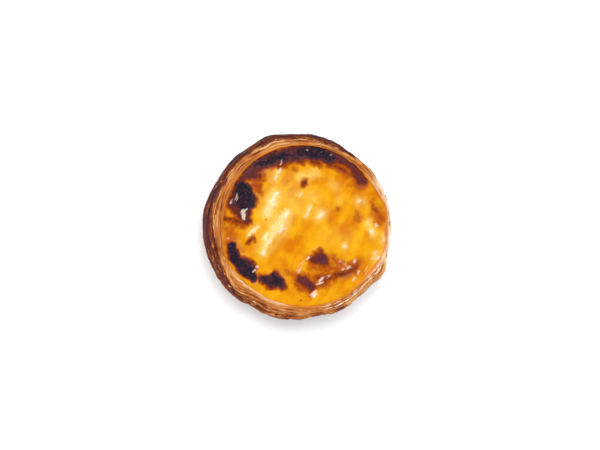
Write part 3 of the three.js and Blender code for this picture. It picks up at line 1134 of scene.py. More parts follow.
def new_group(
    name: str, inputs: dict[str, str], outputs: dict[str, str]
) -> tuple[bpy.types.NodeTree, Wiring, bpy.types.Node, bpy.types.Node]:
    """Starts a shared effect.

    Args:
        name: The node group's name.
        inputs: Socket types of its inputs by name, without the NodeSocket prefix.
        outputs: Socket types of its outputs by name.

    Returns:
        The group, its wiring, its input node and its output node.
    """
    tree = bpy.data.node_groups.new(name, "ShaderNodeTree")
    for key, kind in inputs.items():
        tree.interface.new_socket(key, in_out="INPUT", socket_type="NodeSocket" + kind)
    for key, kind in outputs.items():
        tree.interface.new_socket(key, in_out="OUTPUT", socket_type="NodeSocket" + kind)
    wiring = Wiring(tree)
    return tree, wiring, wiring.put("NodeGroupInput"), wiring.put("NodeGroupOutput")


@dataclass(frozen=True)
class Browning:
    """The way that heat browns and chars a surface, with ragged edges."""

    ragged: float = 0.4
    lump: float = 700.0

    def build(self) -> bpy.types.NodeTree:
        """Makes the effect.

        Returns:
            A group that takes a colour, how far it is burnt and the place.
        """
        tree, w, given, out = new_group(
            "browning",
            {"Colour": "Color", "First": "Color", "Burn": "Float", "Place": "Vector"},
            {"Colour": "Color", "Char": "Float"},
        )
        lumps = w.noise(given.outputs["Place"], self.lump, 2, 0.45)
        shift = w.sum("MULTIPLY", w.sum("SUBTRACT", lumps, 0.5), self.ragged)
        window = w.spread(given.outputs["Burn"], 0.02, 0.3)
        burn = w.sum("ADD", given.outputs["Burn"], w.sum("MULTIPLY", shift, window), clamp=True)
        first = w.spread(burn, 0.06, 0.36)
        colour = w.blend(first, given.outputs["Colour"], given.outputs["First"])
        colour = w.blend(w.spread(burn, 0.3, 0.62), colour, Pigment.RUSSET)
        patches = w.noise(given.outputs["Place"], 1.6 * self.lump, 4, 0.65)
        plum = w.blend(w.spread(patches, 0.38, 0.66, 0, 0.7), Pigment.PLUM, Pigment.CHAR)
        colour = w.blend(w.spread(burn, 0.5, 0.78), colour, plum)
        charred = w.sum("MULTIPLY", w.spread(burn, 0.7, 1.0), w.spread(patches, 0.3, 0.6, 0.6, 1))
        colour = w.blend(charred, colour, Pigment.CHAR)
        w.feed(out.inputs["Colour"], colour)
        w.feed(out.inputs["Char"], w.spread(burn, 0.5, 0.95))
        return tree


@dataclass(frozen=True)
class Mottle:
    """Cloudy unevenness at two sizes."""

    def build(self) -> bpy.types.NodeTree:
        """Makes the effect.

        Returns:
            A group that takes the place and a size, and gives clouds and fine grain.
        """
        tree, w, given, out = new_group(
            "mottle", {"Place": "Vector", "Scale": "Float"}, {"Clouds": "Float", "Grain": "Float"}
        )
        place, scale = given.outputs["Place"], given.outputs["Scale"]
        w.feed(out.inputs["Clouds"], w.spread(w.noise(place, scale, 3, 0.55), 0.22, 0.78))
        w.feed(out.inputs["Grain"], w.noise(place, w.sum("MULTIPLY", scale, 6.0), 3, 0.6))
        return tree


@dataclass(frozen=True)
class CustardSkin:
    """Glossy yolk-yellow skin, burnt in patches, with a painted reflection in pale streaks, painted
    glints, and painted shade and highlight along its wrinkles.
    """

    cloud_scale: float = 210.0
    speck_scale: float = 900.0
    # size of the glints painted on the charred patches
    char_glint_scale: float = 1500.0
    relief: float = 0.00002
    fine_relief: tuple[float, float] = (0.000004, 0.00006)
    coat_roughness: float = 0.07
    glow: float = 0.12

    def build(
        self, browning: bpy.types.NodeTree, mottle: bpy.types.NodeTree
    ) -> bpy.types.Material:
        """Makes the material.

        Args:
            browning: The shared browning effect.
            mottle: The shared mottle effect.

        Returns:
            The material.
        """
        material, w = new_material("custard skin")
        place = w.place()
        clouds = w.group(mottle, Place=place, Scale=self.cloud_scale)
        specks = w.group(mottle, Place=place, Scale=self.speck_scale)
        # painted shade and highlight: apart from the random clouds and the warm areas, the colour
        # is deeper yellow in the hollows of the skin's wrinkles and lighter on their ridges
        curd = w.sum("ADD", w.mark("curd"), w.spread(clouds.outputs["Clouds"], 0, 1, -0.25, 0.25))
        warmth = w.sum("ADD", w.mark("warm"), w.spread(curd, -0.3, 0.9, 0.62, -0.12), clamp=True)
        colour = w.blend(warmth, Pigment.YOLK, Pigment.DEEP_YOLK)
        colour = w.blend(w.spread(curd, 0.4, 1.2, 0, 0.42), colour, Pigment.BRIGHT_YOLK)
        # painted reflection: the pale streaks blend the colour towards cream, and their cores
        # towards near-white
        pale = w.sum("MULTIPLY", w.mark("pale"), w.spread(specks.outputs["Clouds"], 0, 1, 0.7, 1))
        colour = w.blend(pale, colour, Pigment.REFLECTION_CREAM)
        colour = w.blend(w.spread(pale, 0.6, 1.0, 0, 0.25), colour, Pigment.GLINT_AND_PALEST)
        speckle = w.spread(specks.outputs["Grain"], 0.56, 0.7, 0, 0.3)
        speckle = w.sum("MULTIPLY", speckle, w.spread(pale, 0, 0.8, 1, 0.2))
        colour = w.blend(speckle, colour, Pigment.AMBER)
        rind = w.spread(w.mark("rind"), 0.1, 0.9, 0, 0.8)
        colour = w.blend(rind, colour, w.blend(curd, Pigment.AMBER, Pigment.SOAKED_CRUST))
        burnt = w.group(
            browning, Colour=colour, First=Pigment.AMBER, Burn=w.mark("scorch"), Place=place
        )
        char = burnt.outputs["Char"]
        # painted highlight: the glints are painted into the colour as a near-white blend, and the
        # coat is made stronger there
        painted_glint = w.mark("painted_glint")
        colour = w.blend(w.sum("MULTIPLY", painted_glint, 0.6), burnt.outputs["Colour"], Pigment.GLINT_AND_PALEST)
        # painted highlights: tiny near-white glints painted on the charred patches
        char_glints = w.spread(w.noise(place, self.char_glint_scale, 2, 0.5), 0.66, 0.76, 0, 0.12)
        colour = w.blend(w.sum("MULTIPLY", char_glints, char), colour, Pigment.GLINT_AND_PALEST)
        roughness = w.spread(char, 0, 1, 0.3, 0.6)
        coat = w.sum("MAXIMUM", w.spread(w.mark("scorch"), 0.15, 0.6, 0.42, 0.04), painted_glint)
        height = w.sum("MULTIPLY", clouds.outputs["Grain"], self.relief)
        fine = w.sum("MULTIPLY", specks.outputs["Grain"], w.spread(char, 0, 1, *self.fine_relief))
        w.finish(
            colour,
            roughness,
            w.sum("ADD", height, fine),
            Specular_IOR_Level=0.05,
            Coat_Weight=coat,
            Coat_Roughness=self.coat_roughness,
            Coat_IOR=1.5,
            Subsurface_Weight=self.glow,
            Subsurface_Radius=(1.0, 0.5, 0.15),
            Subsurface_Scale=0.0015,
        )
        return material


@dataclass(frozen=True)
class FlakyCrust:
    """Dull baked pastry with fine strands along its layers, darkest on its outer edges, and
    near-white where glints are painted.
    """

    strand_scale: float = 1.0
    thread_scale: float = 3.1
    cloud_scale: float = 330.0
    line_relief: float = 0.00022
    hair_relief: float = 0.0001
    pore_relief: float = 0.00012

    def build(
        self, browning: bpy.types.NodeTree, mottle: bpy.types.NodeTree
    ) -> bpy.types.Material:
        """Makes the material.

        Args:
            browning: The shared browning effect.
            mottle: The shared mottle effect.

        Returns:
            The material.
        """
        material, w = new_material("flaky crust")
        place = w.place()
        clouds = w.group(mottle, Place=place, Scale=self.cloud_scale)
        strands = w.noise(w.mark("strata", "Vector"), self.strand_scale, 4, 0.6)
        threads = w.noise(w.mark("strata", "Vector"), self.thread_scale, 3, 0.6)
        tone = w.sum("ADD", w.mark("tone"), w.spread(strands, 0.25, 0.75, -0.24, 0.24))
        tone = w.sum("ADD", tone, w.spread(threads, 0.3, 0.7, -0.14, 0.14))
        tone = w.sum("ADD", tone, w.spread(clouds.outputs["Clouds"], 0, 1, -0.08, 0.08))
        # the palest end of the tone is the near-white of painted glints
        colour = w.blend(w.spread(tone, -0.5, 0.05), Pigment.GLINT_AND_PALEST, Pigment.PALE_CRUST)
        colour = w.blend(w.spread(tone, 0.0, 0.4), colour, Pigment.GOLD_CRUST)
        colour = w.blend(w.spread(tone, 0.35, 0.7), colour, Pigment.BROWN_CRUST)
        colour = w.blend(w.spread(tone, 0.65, 1.0), colour, Pigment.DARK_CRUST)
        colour = w.blend(w.mark("soak"), colour, Pigment.SOAKED_CRUST)
        burnt = w.group(
            browning, Colour=colour, First=Pigment.BROWN_CRUST, Burn=w.mark("scorch"), Place=place
        )
        roughness = w.spread(threads, 0.3, 0.7, 0.48, 0.7)
        lines = w.sum("MULTIPLY", strands, self.line_relief)
        hairs = w.sum("MULTIPLY", threads, self.hair_relief)
        pores = w.sum("MULTIPLY", clouds.outputs["Grain"], self.pore_relief)
        height = w.sum("ADD", w.sum("ADD", lines, hairs), pores)
        w.finish(
            burnt.outputs["Colour"],
            roughness,
            height,
            Specular_IOR_Level=0.25,
            Coat_Weight=w.mark("glaze"),
            Coat_Roughness=0.14,
            Subsurface_Weight=0.05,
            Subsurface_Radius=(1.0, 0.5, 0.25),
            Subsurface_Scale=0.001,
        )
        return material


# Sides of the crust that look different from the rest, in degrees

BURNT_LEFT = Sector((42, 58), (252, 226))
BURNT_FRONT = Sector((230, 244), (274, 258))
BURNT_BACK = Sector((46, 58), (92, 80))
PALE_INSIDE = Sector((196, 214), (275, 250))
BROWN_INSIDE = Sector((112, 126), (222, 204))
FRONT_LIP = Sector((204, 222), (272, 250))
# the front right of the rim, where glints are painted on the leaves' raised edges
GLINTING_FRONT = Sector((282, 296), (345, 334))
THIN_SIDE = Sector((318, 340), (44, 24))
FAR_RIGHT = Sector((338, 352), (26, 14))
RIGHT_HALF = Sector((285, 310), (40, 20))
LESS_BURNT_LEFT = Side(204, 14)
BURNT_SPOT = Side(298, 5)
BURNT_RIGHT = Side(320, 12)
WIDE_BURN = Side(130, 30)


# The pieces


@dataclass
class PastryCup:
    """The cup of coiled puff pastry."""

    form: TartForm
    averaged_sections: int = 36
    round_steps: int = 480
    wall_cuts: int = 4
    rim_cuts: int = 4
    ring_slack: float = 0.001
    merge_reach: float = 0.004
    thin_leaf: float = 0.26
    wander: float = 1.5
    wall_calm: float = 0.45
    coil_layers: int = 2
    thin_per_ledge: float = 1.5
    thin_per_leaf: float = 2.0
    blister_rise: float = 0.16
    dent_depth: float = 0.2
    crumb_rise: float = 0.045
    grain: Grain = field(default_factory=lambda: Grain(11))
    piece: bpy.types.Object | None = None
    rows: np.ndarray | None = None
    surface: np.ndarray | None = None
    facing: np.ndarray | None = None

    def cuts(self) -> list[int]:
        """Counts the finer rows between each ring of the section and the next.

        Returns:
            One count for each pair of rings, from the underside's middle on.
        """
        ledges = len(self.form.ledge_profile) * self.form.wall_ledges
        leaves = len(self.form.leaf_profile) * self.form.rim_leaves
        base, between, inside = [2, 2, 3], 3, [2, 3, 1, 1, 1, 1]
        wall = [self.wall_cuts] * (ledges - 1)
        rim = [self.rim_cuts] * (leaves - 1)
        return [*base, *wall, between, *rim, *inside]

    def throw(self) -> bpy.types.Object:
        """Draws the average section point by point and spins it into a round cup.

        Returns:
            The cup, with the number of its ring stored for each vertex.
        """
        radius, height = self.form.cup_rings(all_round(self.averaged_sections))
        section = [Vector((r, 0, z)) * MM for r, z in zip(radius.mean(1), height.mean(1))]
        nothing_selected()
        bpy.ops.mesh.primitive_plane_add(size=2 * MM, location=section[0])
        cup = name_piece(bpy.context.active_object, "puff_pastry_cup")
        bpy.ops.object.transform_apply(location=True, rotation=True, scale=True)
        with on_the_bench(cup):
            bpy.ops.mesh.select_all(action="SELECT")
            bpy.ops.mesh.merge(type="CENTER")
            for here, there in zip(section, section[1:]):
                bpy.ops.mesh.extrude_region_move(
                    TRANSFORM_OT_translate={"value": tuple(there - here)}
                )
        write_mark(cup.data, "ring", np.arange(len(section), dtype=float))
        cup.data.attributes.active = cup.data.attributes["ring"]
        for first, cuts in reversed(list(enumerate(self.cuts()))):
            self.refine(cup, first, cuts)
        with on_the_bench(cup):
            bpy.ops.mesh.select_all(action="SELECT")
            bpy.ops.mesh.spin(
                steps=self.round_steps, angle=2 * math.pi, center=(0, 0, 0), axis=(0, 0, 1)
            )
            bpy.ops.mesh.select_all(action="SELECT")
            bpy.ops.mesh.remove_doubles(threshold=self.merge_reach * MM)
            bpy.ops.mesh.normals_make_consistent(inside=False)
        return cup

    def refine(self, cup: bpy.types.Object, first: int, cuts: int) -> None:
        """Cuts the section between one ring and the next into finer rows.

        Args:
            cup: The section's object.
            first: Number of the lower ring.
            cuts: Number of new rows.
        """
        ring = read_mark(cup.data, "ring").tolist()
        low, high = first - self.ring_slack, first + 1 + self.ring_slack
        with on_the_bench(cup, "EDGE"):
            bpy.ops.object.mode_set(mode="OBJECT")
            for edge in cup.data.edges:
                a, b = (ring[v] for v in edge.vertices)
                edge.select = low <= min(a, b) and max(a, b) <= high
            bpy.ops.object.mode_set(mode="EDIT")
            bpy.ops.mesh.subdivide(number_cuts=cuts)

    def press(self, cup: bpy.types.Object) -> None:
        """Gives each side of the round cup its own section, leaves and browning.

        Args:
            cup: The round cup.
        """
        mesh = cup.data
        points = points_of(mesh)
        rows, row = np.unique(read_mark(mesh, "ring").round(3), return_inverse=True)
        turn = np.arctan2(points[:, 1], points[:, 0]) % (2 * math.pi)
        step = np.rint(turn / (2 * math.pi) * self.round_steps).astype(int) % self.round_steps
        angle = all_round(self.round_steps)
        grid = self.section_grid(rows, angle)
        leaf = self.leaf_number(rows, angle)
        ridge = self.ridge(leaf)
        grid = grid + self.outward(grid) * self.relief(rows, angle, grid, leaf, ridge)[..., None]
        grid[..., 2] = np.maximum(grid[..., 2], 0.0)
        grid[np.isin(rows, (0.0, 1.0)), :, 2] = 0.0
        self.rows, self.surface, self.facing = rows, grid, self.outward(grid)
        move_points(mesh, (grid - self.form.middle())[row, step])
        for name, values in self.marks(rows, angle, grid, leaf, ridge).items():
            write_mark(mesh, name, values[row, step])

    def section_grid(self, rows: np.ndarray, angle: np.ndarray) -> np.ndarray:
        """Draws a smooth curve through the rings at each angle.

        Args:
            rows: The rows, as fractions between ring numbers.
            angle: Angles in radians.

        Returns:
            Places by row and angle.
        """
        radius, height = self.form.cup_rings(angle)
        last = len(radius) - 1
        low = np.minimum(np.floor(rows).astype(int), last - 1)
        t = (rows - low)[:, None]

        def curve(values: np.ndarray) -> np.ndarray:
            """Goes through the rings with slopes that don't overshoot.

            Args:
                values: The rings' radii or heights by ring and angle.

            Returns:
                The radii or heights by row and angle.
            """
            step = np.diff(values, axis=0)
            slope = np.zeros_like(values)
            same = step[1:] * step[:-1] > 0
            both = 2 * step[1:] * step[:-1] / np.where(same, step[1:] + step[:-1], 1)
            slope[1:-1] = np.where(same, both, 0)
            slope[0], slope[-1] = step[0], step[-1]
            a, b = values[low], values[low + 1]
            h1, h2 = 2 * t**3 - 3 * t**2 + 1, t**3 - 2 * t**2 + t
            h3, h4 = 3 * t**2 - 2 * t**3, t**3 - t**2
            return h1 * a + h2 * slope[low] + h3 * b + h4 * slope[low + 1]

        r, z = curve(radius), curve(height)
        return np.stack([r * np.cos(angle), r * np.sin(angle), z], axis=-1)

    def leaf_number(self, rows: np.ndarray, angle: np.ndarray) -> np.ndarray:
        """Counts the thin leaves across the section, as a coil that climbs round the cup.

        Args:
            rows: The rows.
            angle: Angles in radians.

        Returns:
            The count by row and angle. Its whole part is the leaf, the rest the place in it.
        """
        first_rim = self.form.first_rim()
        past_base = np.clip(rows - BASE_RINGS, -2, first_rim - BASE_RINGS)
        wall = past_base / len(self.form.ledge_profile)
        rim = np.maximum(rows - first_rim, 0) / len(self.form.leaf_profile)
        count = (self.thin_per_ledge * wall + self.thin_per_leaf * rim)[:, None]
        count = count * np.ones_like(angle)
        across = (count / 4.0)[..., None] + np.zeros(3)
        place = np.stack([4.6 * np.cos(angle), 4.6 * np.sin(angle), 0 * angle], axis=-1)
        calm = mix(self.wall_calm, 1.0, ease(first_rim - 6.0, first_rim, rows))[:, None]
        drift = calm * self.wander * self.grain.layered(place + across * (0, 0, 1), 1.0, 2)
        drift = drift + 0.35 * sway(angle, 91, 4)
        return count + drift + self.coil_layers * angle / (2 * math.pi)

    def ridge(self, leaf: np.ndarray) -> np.ndarray:
        """Gives the height of a leaf's edge, which rises slowly and falls away fast."""
        place = leaf % 1.0
        return ease(0.0, 0.72, place) * ease(1.0, 0.8, place)

    def outward(self, grid: np.ndarray) -> np.ndarray:
        """Gives the direction out of the surface at each place of a grid.

        Args:
            grid: Places by row and angle.

        Returns:
            Unit vectors by row and angle.
        """
        around = np.roll(grid, -1, axis=1) - np.roll(grid, 1, axis=1)
        up = np.gradient(grid, axis=0)
        out = np.cross(around, up)
        length = np.linalg.norm(out, axis=-1, keepdims=True)
        return out / np.maximum(length, 1e-9)

    def along_coil(self, leaf: np.ndarray, angle: np.ndarray, seed: int) -> np.ndarray:
        """Gives each leaf a value that changes slowly along the coil.

        Args:
            leaf: The leaf count by row and angle.
            angle: Angles in radians.
            seed: Chooses one of many such values.

        Returns:
            A value between about -1 and 1 by row and angle.
        """
        number = np.floor(leaf)
        unwound = angle / (2 * math.pi) - number / self.coil_layers
        lane = (number % self.coil_layers) * 5.5
        place = np.stack([unwound * 9.0, lane, np.full_like(lane, seed * 3.1)], axis=-1)
        return self.grain.layered(place, 1.0, 2) * 1.5

    def relief(
        self,
        rows: np.ndarray,
        angle: np.ndarray,
        grid: np.ndarray,
        leaf: np.ndarray,
        ridge: np.ndarray,
    ) -> np.ndarray:
        """Gives how far the surface is raised by thin leaves, blisters and grain.

        Args:
            rows: The rows.
            angle: Angles in radians.
            grid: Places by row and angle.
            leaf: The leaf count.
            ridge: The height in each leaf.

        Returns:
            Heights in millimetres by row and angle.
        """
        last_rim = self.form.last_rim()
        on_wall = ease(2.5, 5.0, rows) * ease(last_rim + 1.0, last_rim - 0.5, rows)
        lift = 1 + 0.8 * self.along_coil(leaf, angle, 1)
        leaves = self.thin_leaf * lift * (ridge - 0.45)
        blisters = self.blister_rise * np.maximum(self.grain.layered(grid, 3.2), 0.0)
        dents = self.dent_depth * self.grain.layered(grid + 50, 7.0)
        crumbs = self.crumb_rise * self.grain.layered(grid, 0.8, 2)
        return on_wall[:, None] * (leaves + blisters + dents + crumbs)

    def marks(
        self,
        rows: np.ndarray,
        angle: np.ndarray,
        grid: np.ndarray,
        leaf: np.ndarray,
        ridge: np.ndarray,
    ) -> dict[str, np.ndarray]:
        """Works out how the pastry browned, with painted shade in the grooves between its leaves
        and painted glints on part of the rim.

        Args:
            rows: The rows.
            angle: Angles in radians.
            grid: Places by row and angle.
            leaf: The leaf count.
            ridge: The height in each leaf.

        Returns:
            Tone from pale to brown, scorch, glaze, how far the custard has soaked in, and the
            coordinates of the fine strands.
        """
        degrees = np.degrees(angle)
        first_rim, last_rim = self.form.first_rim(), self.form.last_rim()
        share = clamp01((rows - first_rim) / (last_rim - first_rim))[:, None]
        lumps = self.grain.layered(grid, 6.0)
        blotch = 0.16 * self.grain.layered(grid, 2.4) + 0.14 * self.along_coil(leaf, angle, 3)
        rim_only = ease(first_rim - 4.5, first_rim, rows[:, None] + 9.0 * blotch)
        strand = self.along_coil(leaf, angle, 2)
        on_rim = ease(first_rim - 6.0, first_rim - 1.0, rows)[:, None]
        # painted shade: the tone is darker in the grooves between leaves and paler on their raised
        # edges, following the relief
        rim_tone = 0.42 + 0.22 * strand + 0.12 * lumps + 0.3 * (0.5 - ridge)
        wall_tone = 0.5 + 0.1 * strand + 0.16 * lumps + 0.22 * (0.5 - ridge)
        # painted highlights: where glints are painted on the rim
        glint_noise = self.along_coil(leaf, angle, 6) + 0.9 * self.grain.layered(grid + 9, 1.6, 2)
        crests = ease(0.0, 0.6, glint_noise) * ease(0.35, 0.8, ridge)
        tone = mix(wall_tone, rim_tone, on_rim) + self.tone_by_side(degrees, share, crests)
        # painted shade: the scorch is also stronger in the grooves between leaves
        uneven = 0.68 + 0.4 * self.along_coil(leaf, angle, 4) + 0.3 * (0.5 - ridge)
        scorch = self.scorch_by_side(angle, share, blotch, uneven) * rim_only
        lip = ease(0.74, 0.94, share) + 0 * leaf
        lip = np.maximum(lip, FAR_RIGHT.at(degrees) * ease(0.45, 0.7, share + 0.5 * blotch))
        soak = lip * (0.85 + 0.3 * lumps) * (1 - 0.6 * FRONT_LIP.at(degrees))
        glazed = 0.08 + 0.5 * ease(280, 305, degrees) + 0.2 * ease(40, 16, degrees)
        glazed = glazed + 0.4 * FRONT_LIP.at(degrees)
        glaze = glazed * ease(0.1, 0.5, share) * rim_only + 0 * leaf
        round_and_across = [1.8 * np.cos(angle) + 0 * leaf, 1.8 * np.sin(angle) + 0 * leaf]
        unwound = leaf - self.coil_layers * angle / (2 * math.pi)
        return {
            "tone": np.clip(tone, -0.5, 1.0),
            "scorch": clamp01(scorch),
            "glaze": clamp01(glaze),
            "soak": clamp01(soak),
            "strata": np.stack([*round_and_across, 1.4 * unwound], axis=-1),
        }

    def tone_by_side(
        self, degrees: np.ndarray, share: np.ndarray, crests: np.ndarray
    ) -> np.ndarray:
        """Gives how much browner or paler than the rest each side of the rim is, glints painted
        near-white included.

        Args:
            degrees: Angles.
            share: Share of the rim's width, from its outside.
            crests: Where glints are painted, on the leaves' raised edges.

        Returns:
            What is added to the tone.
        """
        thin_side = THIN_SIDE.at(degrees)
        glint_side = GLINTING_FRONT.at(degrees) + 0.2 * thin_side
        tone = -0.24 * ease(0.5, 0.9, share) * PALE_INSIDE.at(degrees)
        tone = tone + 0.22 * ease(0.45, 0.85, share) * BROWN_INSIDE.at(degrees)
        tone = tone - 0.14 * RIGHT_HALF.at(degrees)
        tone = tone - 0.4 * thin_side * ease(-0.2, 0.1, share)
        # painted highlights: on the glinting side the leaves' raised edges are painted near-white,
        # and browner between them
        tone = tone + glint_side * mix(0.14, -1.3, crests) * ease(0.25, 0.5, share)
        return tone - 0.42 * ease(0.74, 0.94, share) * FRONT_LIP.at(degrees)

    def scorch_by_side(
        self, angle: np.ndarray, share: np.ndarray, blotch: np.ndarray, uneven: np.ndarray
    ) -> np.ndarray:
        """Gives how burnt each side of the rim is.

        Args:
            angle: Angles in radians.
            share: Share of the rim's width, from its outside.
            blotch: The ragged edge of the burnt part.
            uneven: How evenly it is burnt.

        Returns:
            From 0 to about 1.
        """
        degrees = np.degrees(angle)
        left = BURNT_LEFT.at(degrees) * (1 - 0.3 * LESS_BURNT_LEFT.near(degrees))
        front = 0.6 * BURNT_FRONT.at(degrees)
        spot = 0.75 * BURNT_SPOT.near(degrees)
        right = 0.3 * BURNT_RIGHT.near(degrees)
        dark = np.maximum.reduce([left, front, spot, right])
        width = 0.31 + 0.07 * sway(angle, 95, 4) + 0.06 * WIDE_BURN.near(degrees)
        outer = ease(width + 0.2, width - 0.2, share + blotch)
        scorch = dark * outer * uneven * mix(1.0, 0.75, share / 0.5) + 0.12 * left * (1 - share)
        back = 0.85 * BURNT_BACK.at(degrees)
        return np.maximum(scorch, back * ease(0.5, 0.2, share + blotch))

    def spots(self, rows: np.ndarray, angle: np.ndarray) -> tuple[np.ndarray, np.ndarray]:
        """Finds places on the cup.

        Args:
            rows: The row of each place.
            angle: The angle of each place in radians.

        Returns:
            The places, and the direction out of the surface at each.
        """
        at = np.interp(rows, self.rows, np.arange(len(self.rows)))
        low = np.minimum(at.astype(int), len(self.rows) - 2)
        turn = (angle / (2 * math.pi)) % 1 * self.round_steps
        left = turn.astype(int) % self.round_steps
        right = (left + 1) % self.round_steps
        up, along = (at - low)[:, None], (turn % 1)[:, None]
        found = []
        for grid in (self.surface, self.facing):
            lower = mix(grid[low, left], grid[low, right], along)
            upper = mix(grid[low + 1, left], grid[low + 1, right], along)
            found.append(mix(lower, upper, up))
        return found[0], found[1]

    def build(self) -> bpy.types.Object:
        """Makes the cup.

        Returns:
            The finished object.
        """
        self.piece = self.throw()
        self.press(self.piece)
        self.piece.data.attributes.remove(self.piece.data.attributes["ring"])
        take_up(self.piece)
        bpy.ops.object.shade_smooth()
        return self.piece

    def dress(self, crust: bpy.types.Material) -> None:
        """Gives the cup its material and its place in the frame.

        Args:
            crust: The crust's material.
        """
        self.piece.data.materials.append(crust)
        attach(self.piece, ROOT)
        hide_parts("pastry_case")


@dataclass(frozen=True)
class FlakePatch:
    """A stretch of the rim where loose flakes lie."""

    start: float
    end: float
    low_row: float
    high_row: float
    count: int
    length_scale: float
    width_scale: float
    tone: float
    scorch: float


FLAKE_PATCHES = (
    FlakePatch(198, 240, 19.5, 26.0, 14, 0.25, 0.35, 0.05, 0.0),
    FlakePatch(190, 240, 20.5, 27.0, 34, 1.0, 0.8, 0.55, 0.55),
    FlakePatch(236, 292, 19.5, 27.0, 40, 1.0, 0.8, 0.5, 0.25),
    FlakePatch(292, 345, 19.0, 31.0, 44, 0.8, 0.55, 0.4, 0.1),
    FlakePatch(120, 196, 21.0, 27.0, 26, 1.0, 0.8, 0.6, 0.6),
    FlakePatch(48, 120, 21.0, 27.0, 22, 1.0, 0.7, 0.6, 0.5),
    FlakePatch(4, 48, 21.0, 30.0, 12, 0.8, 0.6, 0.25, 0.0),
    FlakePatch(150, 290, 27.0, 33.0, 20, 1.0, 0.7, 0.35, 0.0),
    FlakePatch(0, 360, 5.0, 19.0, 90, 1.6, 0.8, 0.5, 0.1),
)


@dataclass
class LooseFlakes:
    """Thin flakes of pastry that lift from the rim and the wall."""

    cup: PastryCup
    long_cells: int = 7
    wide_cells: int = 2
    thickness: float = 0.13
    length: tuple[float, float] = (2.0, 9.0)
    width: tuple[float, float] = (0.45, 1.3)
    lift: tuple[float, float] = (0.15, 0.75)
    gap: float = 0.02
    crest_row: float = 27.0
    widest_row: float = 17.5
    seed: int = 29
    piece: bpy.types.Object | None = None

    def cut_one(self) -> bpy.types.Object:
        """Cuts one flake with pointed ends, 2 units long and wide and 1 thick.

        Returns:
            The flake.
        """
        nothing_selected()
        bpy.ops.mesh.primitive_grid_add(
            x_subdivisions=self.long_cells, y_subdivisions=self.wide_cells, size=2
        )
        flake = name_piece(bpy.context.active_object, "loose_flake")
        with on_the_bench(flake):
            bpy.ops.mesh.select_all(action="SELECT")
            bpy.ops.mesh.extrude_region_move(TRANSFORM_OT_translate={"value": (0, 0, 1)})
            bpy.ops.mesh.select_all(action="SELECT")
            bpy.ops.mesh.normals_make_consistent(inside=False)
        points = points_of(flake.data)
        points[:, 1] *= 0.25 + 0.75 * np.sqrt(clamp01(1 - points[:, 0] ** 2))
        flake.data.vertices.foreach_set("co", points.astype(np.float32).ravel())
        return flake

    def lay(
        self, flake: bpy.types.Object, patch: FlakePatch, draw: np.random.Generator
    ) -> None:
        """Lays one flake on the cup, held along one side and lifted along the other.

        Args:
            flake: A copy of the flake with its own mesh.
            patch: Where it may lie.
            draw: The random generator.
        """
        along, across, up = points_of(flake.data).T
        middle = math.radians(draw.uniform(patch.start, patch.end))
        row = draw.uniform(patch.low_row, patch.high_row)
        section, _ = self.cup.spots(self.cup.rows, np.full(len(self.cup.rows), middle))
        steps = np.linalg.norm(np.diff(section, axis=0), axis=1)
        climbed = np.concatenate([[0.0], np.cumsum(steps)])
        reach = np.interp(row, self.cup.rows, np.hypot(section[:, 0], section[:, 1]))
        length = self.length[0] + (self.length[1] - self.length[0]) * draw.random() ** 2
        length *= patch.length_scale
        width, lift = draw.uniform(*self.width) * patch.width_scale, draw.uniform(*self.lift)
        slant, wave, phase = draw.uniform(-0.35, 0.35), draw.uniform(0.0, 0.25), draw.uniform(0, 6)
        angle = middle + along * length / 2 / reach
        offset = across * width / 2 + slant * along + wave * np.sin(4 * along + phase)
        rows = np.interp(
            np.interp(row, self.cup.rows, climbed) + offset, climbed, self.cup.rows
        )
        place, out = self.cup.spots(rows, angle)
        free = (across + 1) / 2 if row < self.crest_row else (1 - across) / 2
        curl = min(lift, 0.6 * width) * free**1.5 * (0.6 + 0.4 * np.cos(2.2 * along + phase))
        outermost = 0.3 + 0.7 * ease(1.0, 4.5, abs(row - self.widest_row))
        height = self.gap + outermost * curl + self.thickness * up
        move_points(flake.data, place + out * height[:, None] - self.cup.form.middle())
        one = np.ones(len(along))
        tone = patch.tone + draw.uniform(-0.2, 0.2) - 0.15 * free
        scorch = patch.scorch * draw.uniform(0.3, 1.5) * (1.1 - 0.5 * free)
        write_mark(flake.data, "tone", clamp01(tone * one))
        write_mark(flake.data, "scorch", clamp01(scorch * one))
        write_mark(flake.data, "glaze", 0.1 * one)
        write_mark(flake.data, "soak", 0.0 * one)
        number = draw.uniform(0, 60)
        strata = [1.8 * np.cos(angle), 1.8 * np.sin(angle), number + 1.4 * across]
        write_mark(flake.data, "strata", np.stack(strata, axis=-1))

    def build(self) -> bpy.types.Object:
        """Makes all flakes and joins them.

        Returns:
            The finished object.
        """
        pattern = self.cut_one()
        draw = np.random.default_rng(self.seed)
        flakes = []
        for patch in FLAKE_PATCHES:
            for _ in range(patch.count):
                flake = pattern.copy()
                flake.data = pattern.data.copy()
                bpy.context.scene.collection.objects.link(flake)
                self.lay(flake, patch, draw)
                flakes.append(flake)
        bpy.data.objects.remove(pattern)
        nothing_selected()
        for flake in flakes:
            flake.select_set(True)
        bpy.context.view_layer.objects.active = flakes[0]
        bpy.ops.object.join()
        self.piece = name_piece(flakes[0], "loose_flakes")
        bpy.ops.object.shade_smooth_by_angle(angle=math.radians(50))
        return self.piece

    def dress(self, crust: bpy.types.Material) -> None:
        """Gives the flakes their material and their place in the frame.

        Args:
            crust: The crust's material.
        """
        self.piece.data.materials.append(crust)
        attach(self.piece, ROOT)
        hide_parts("pastry_case")


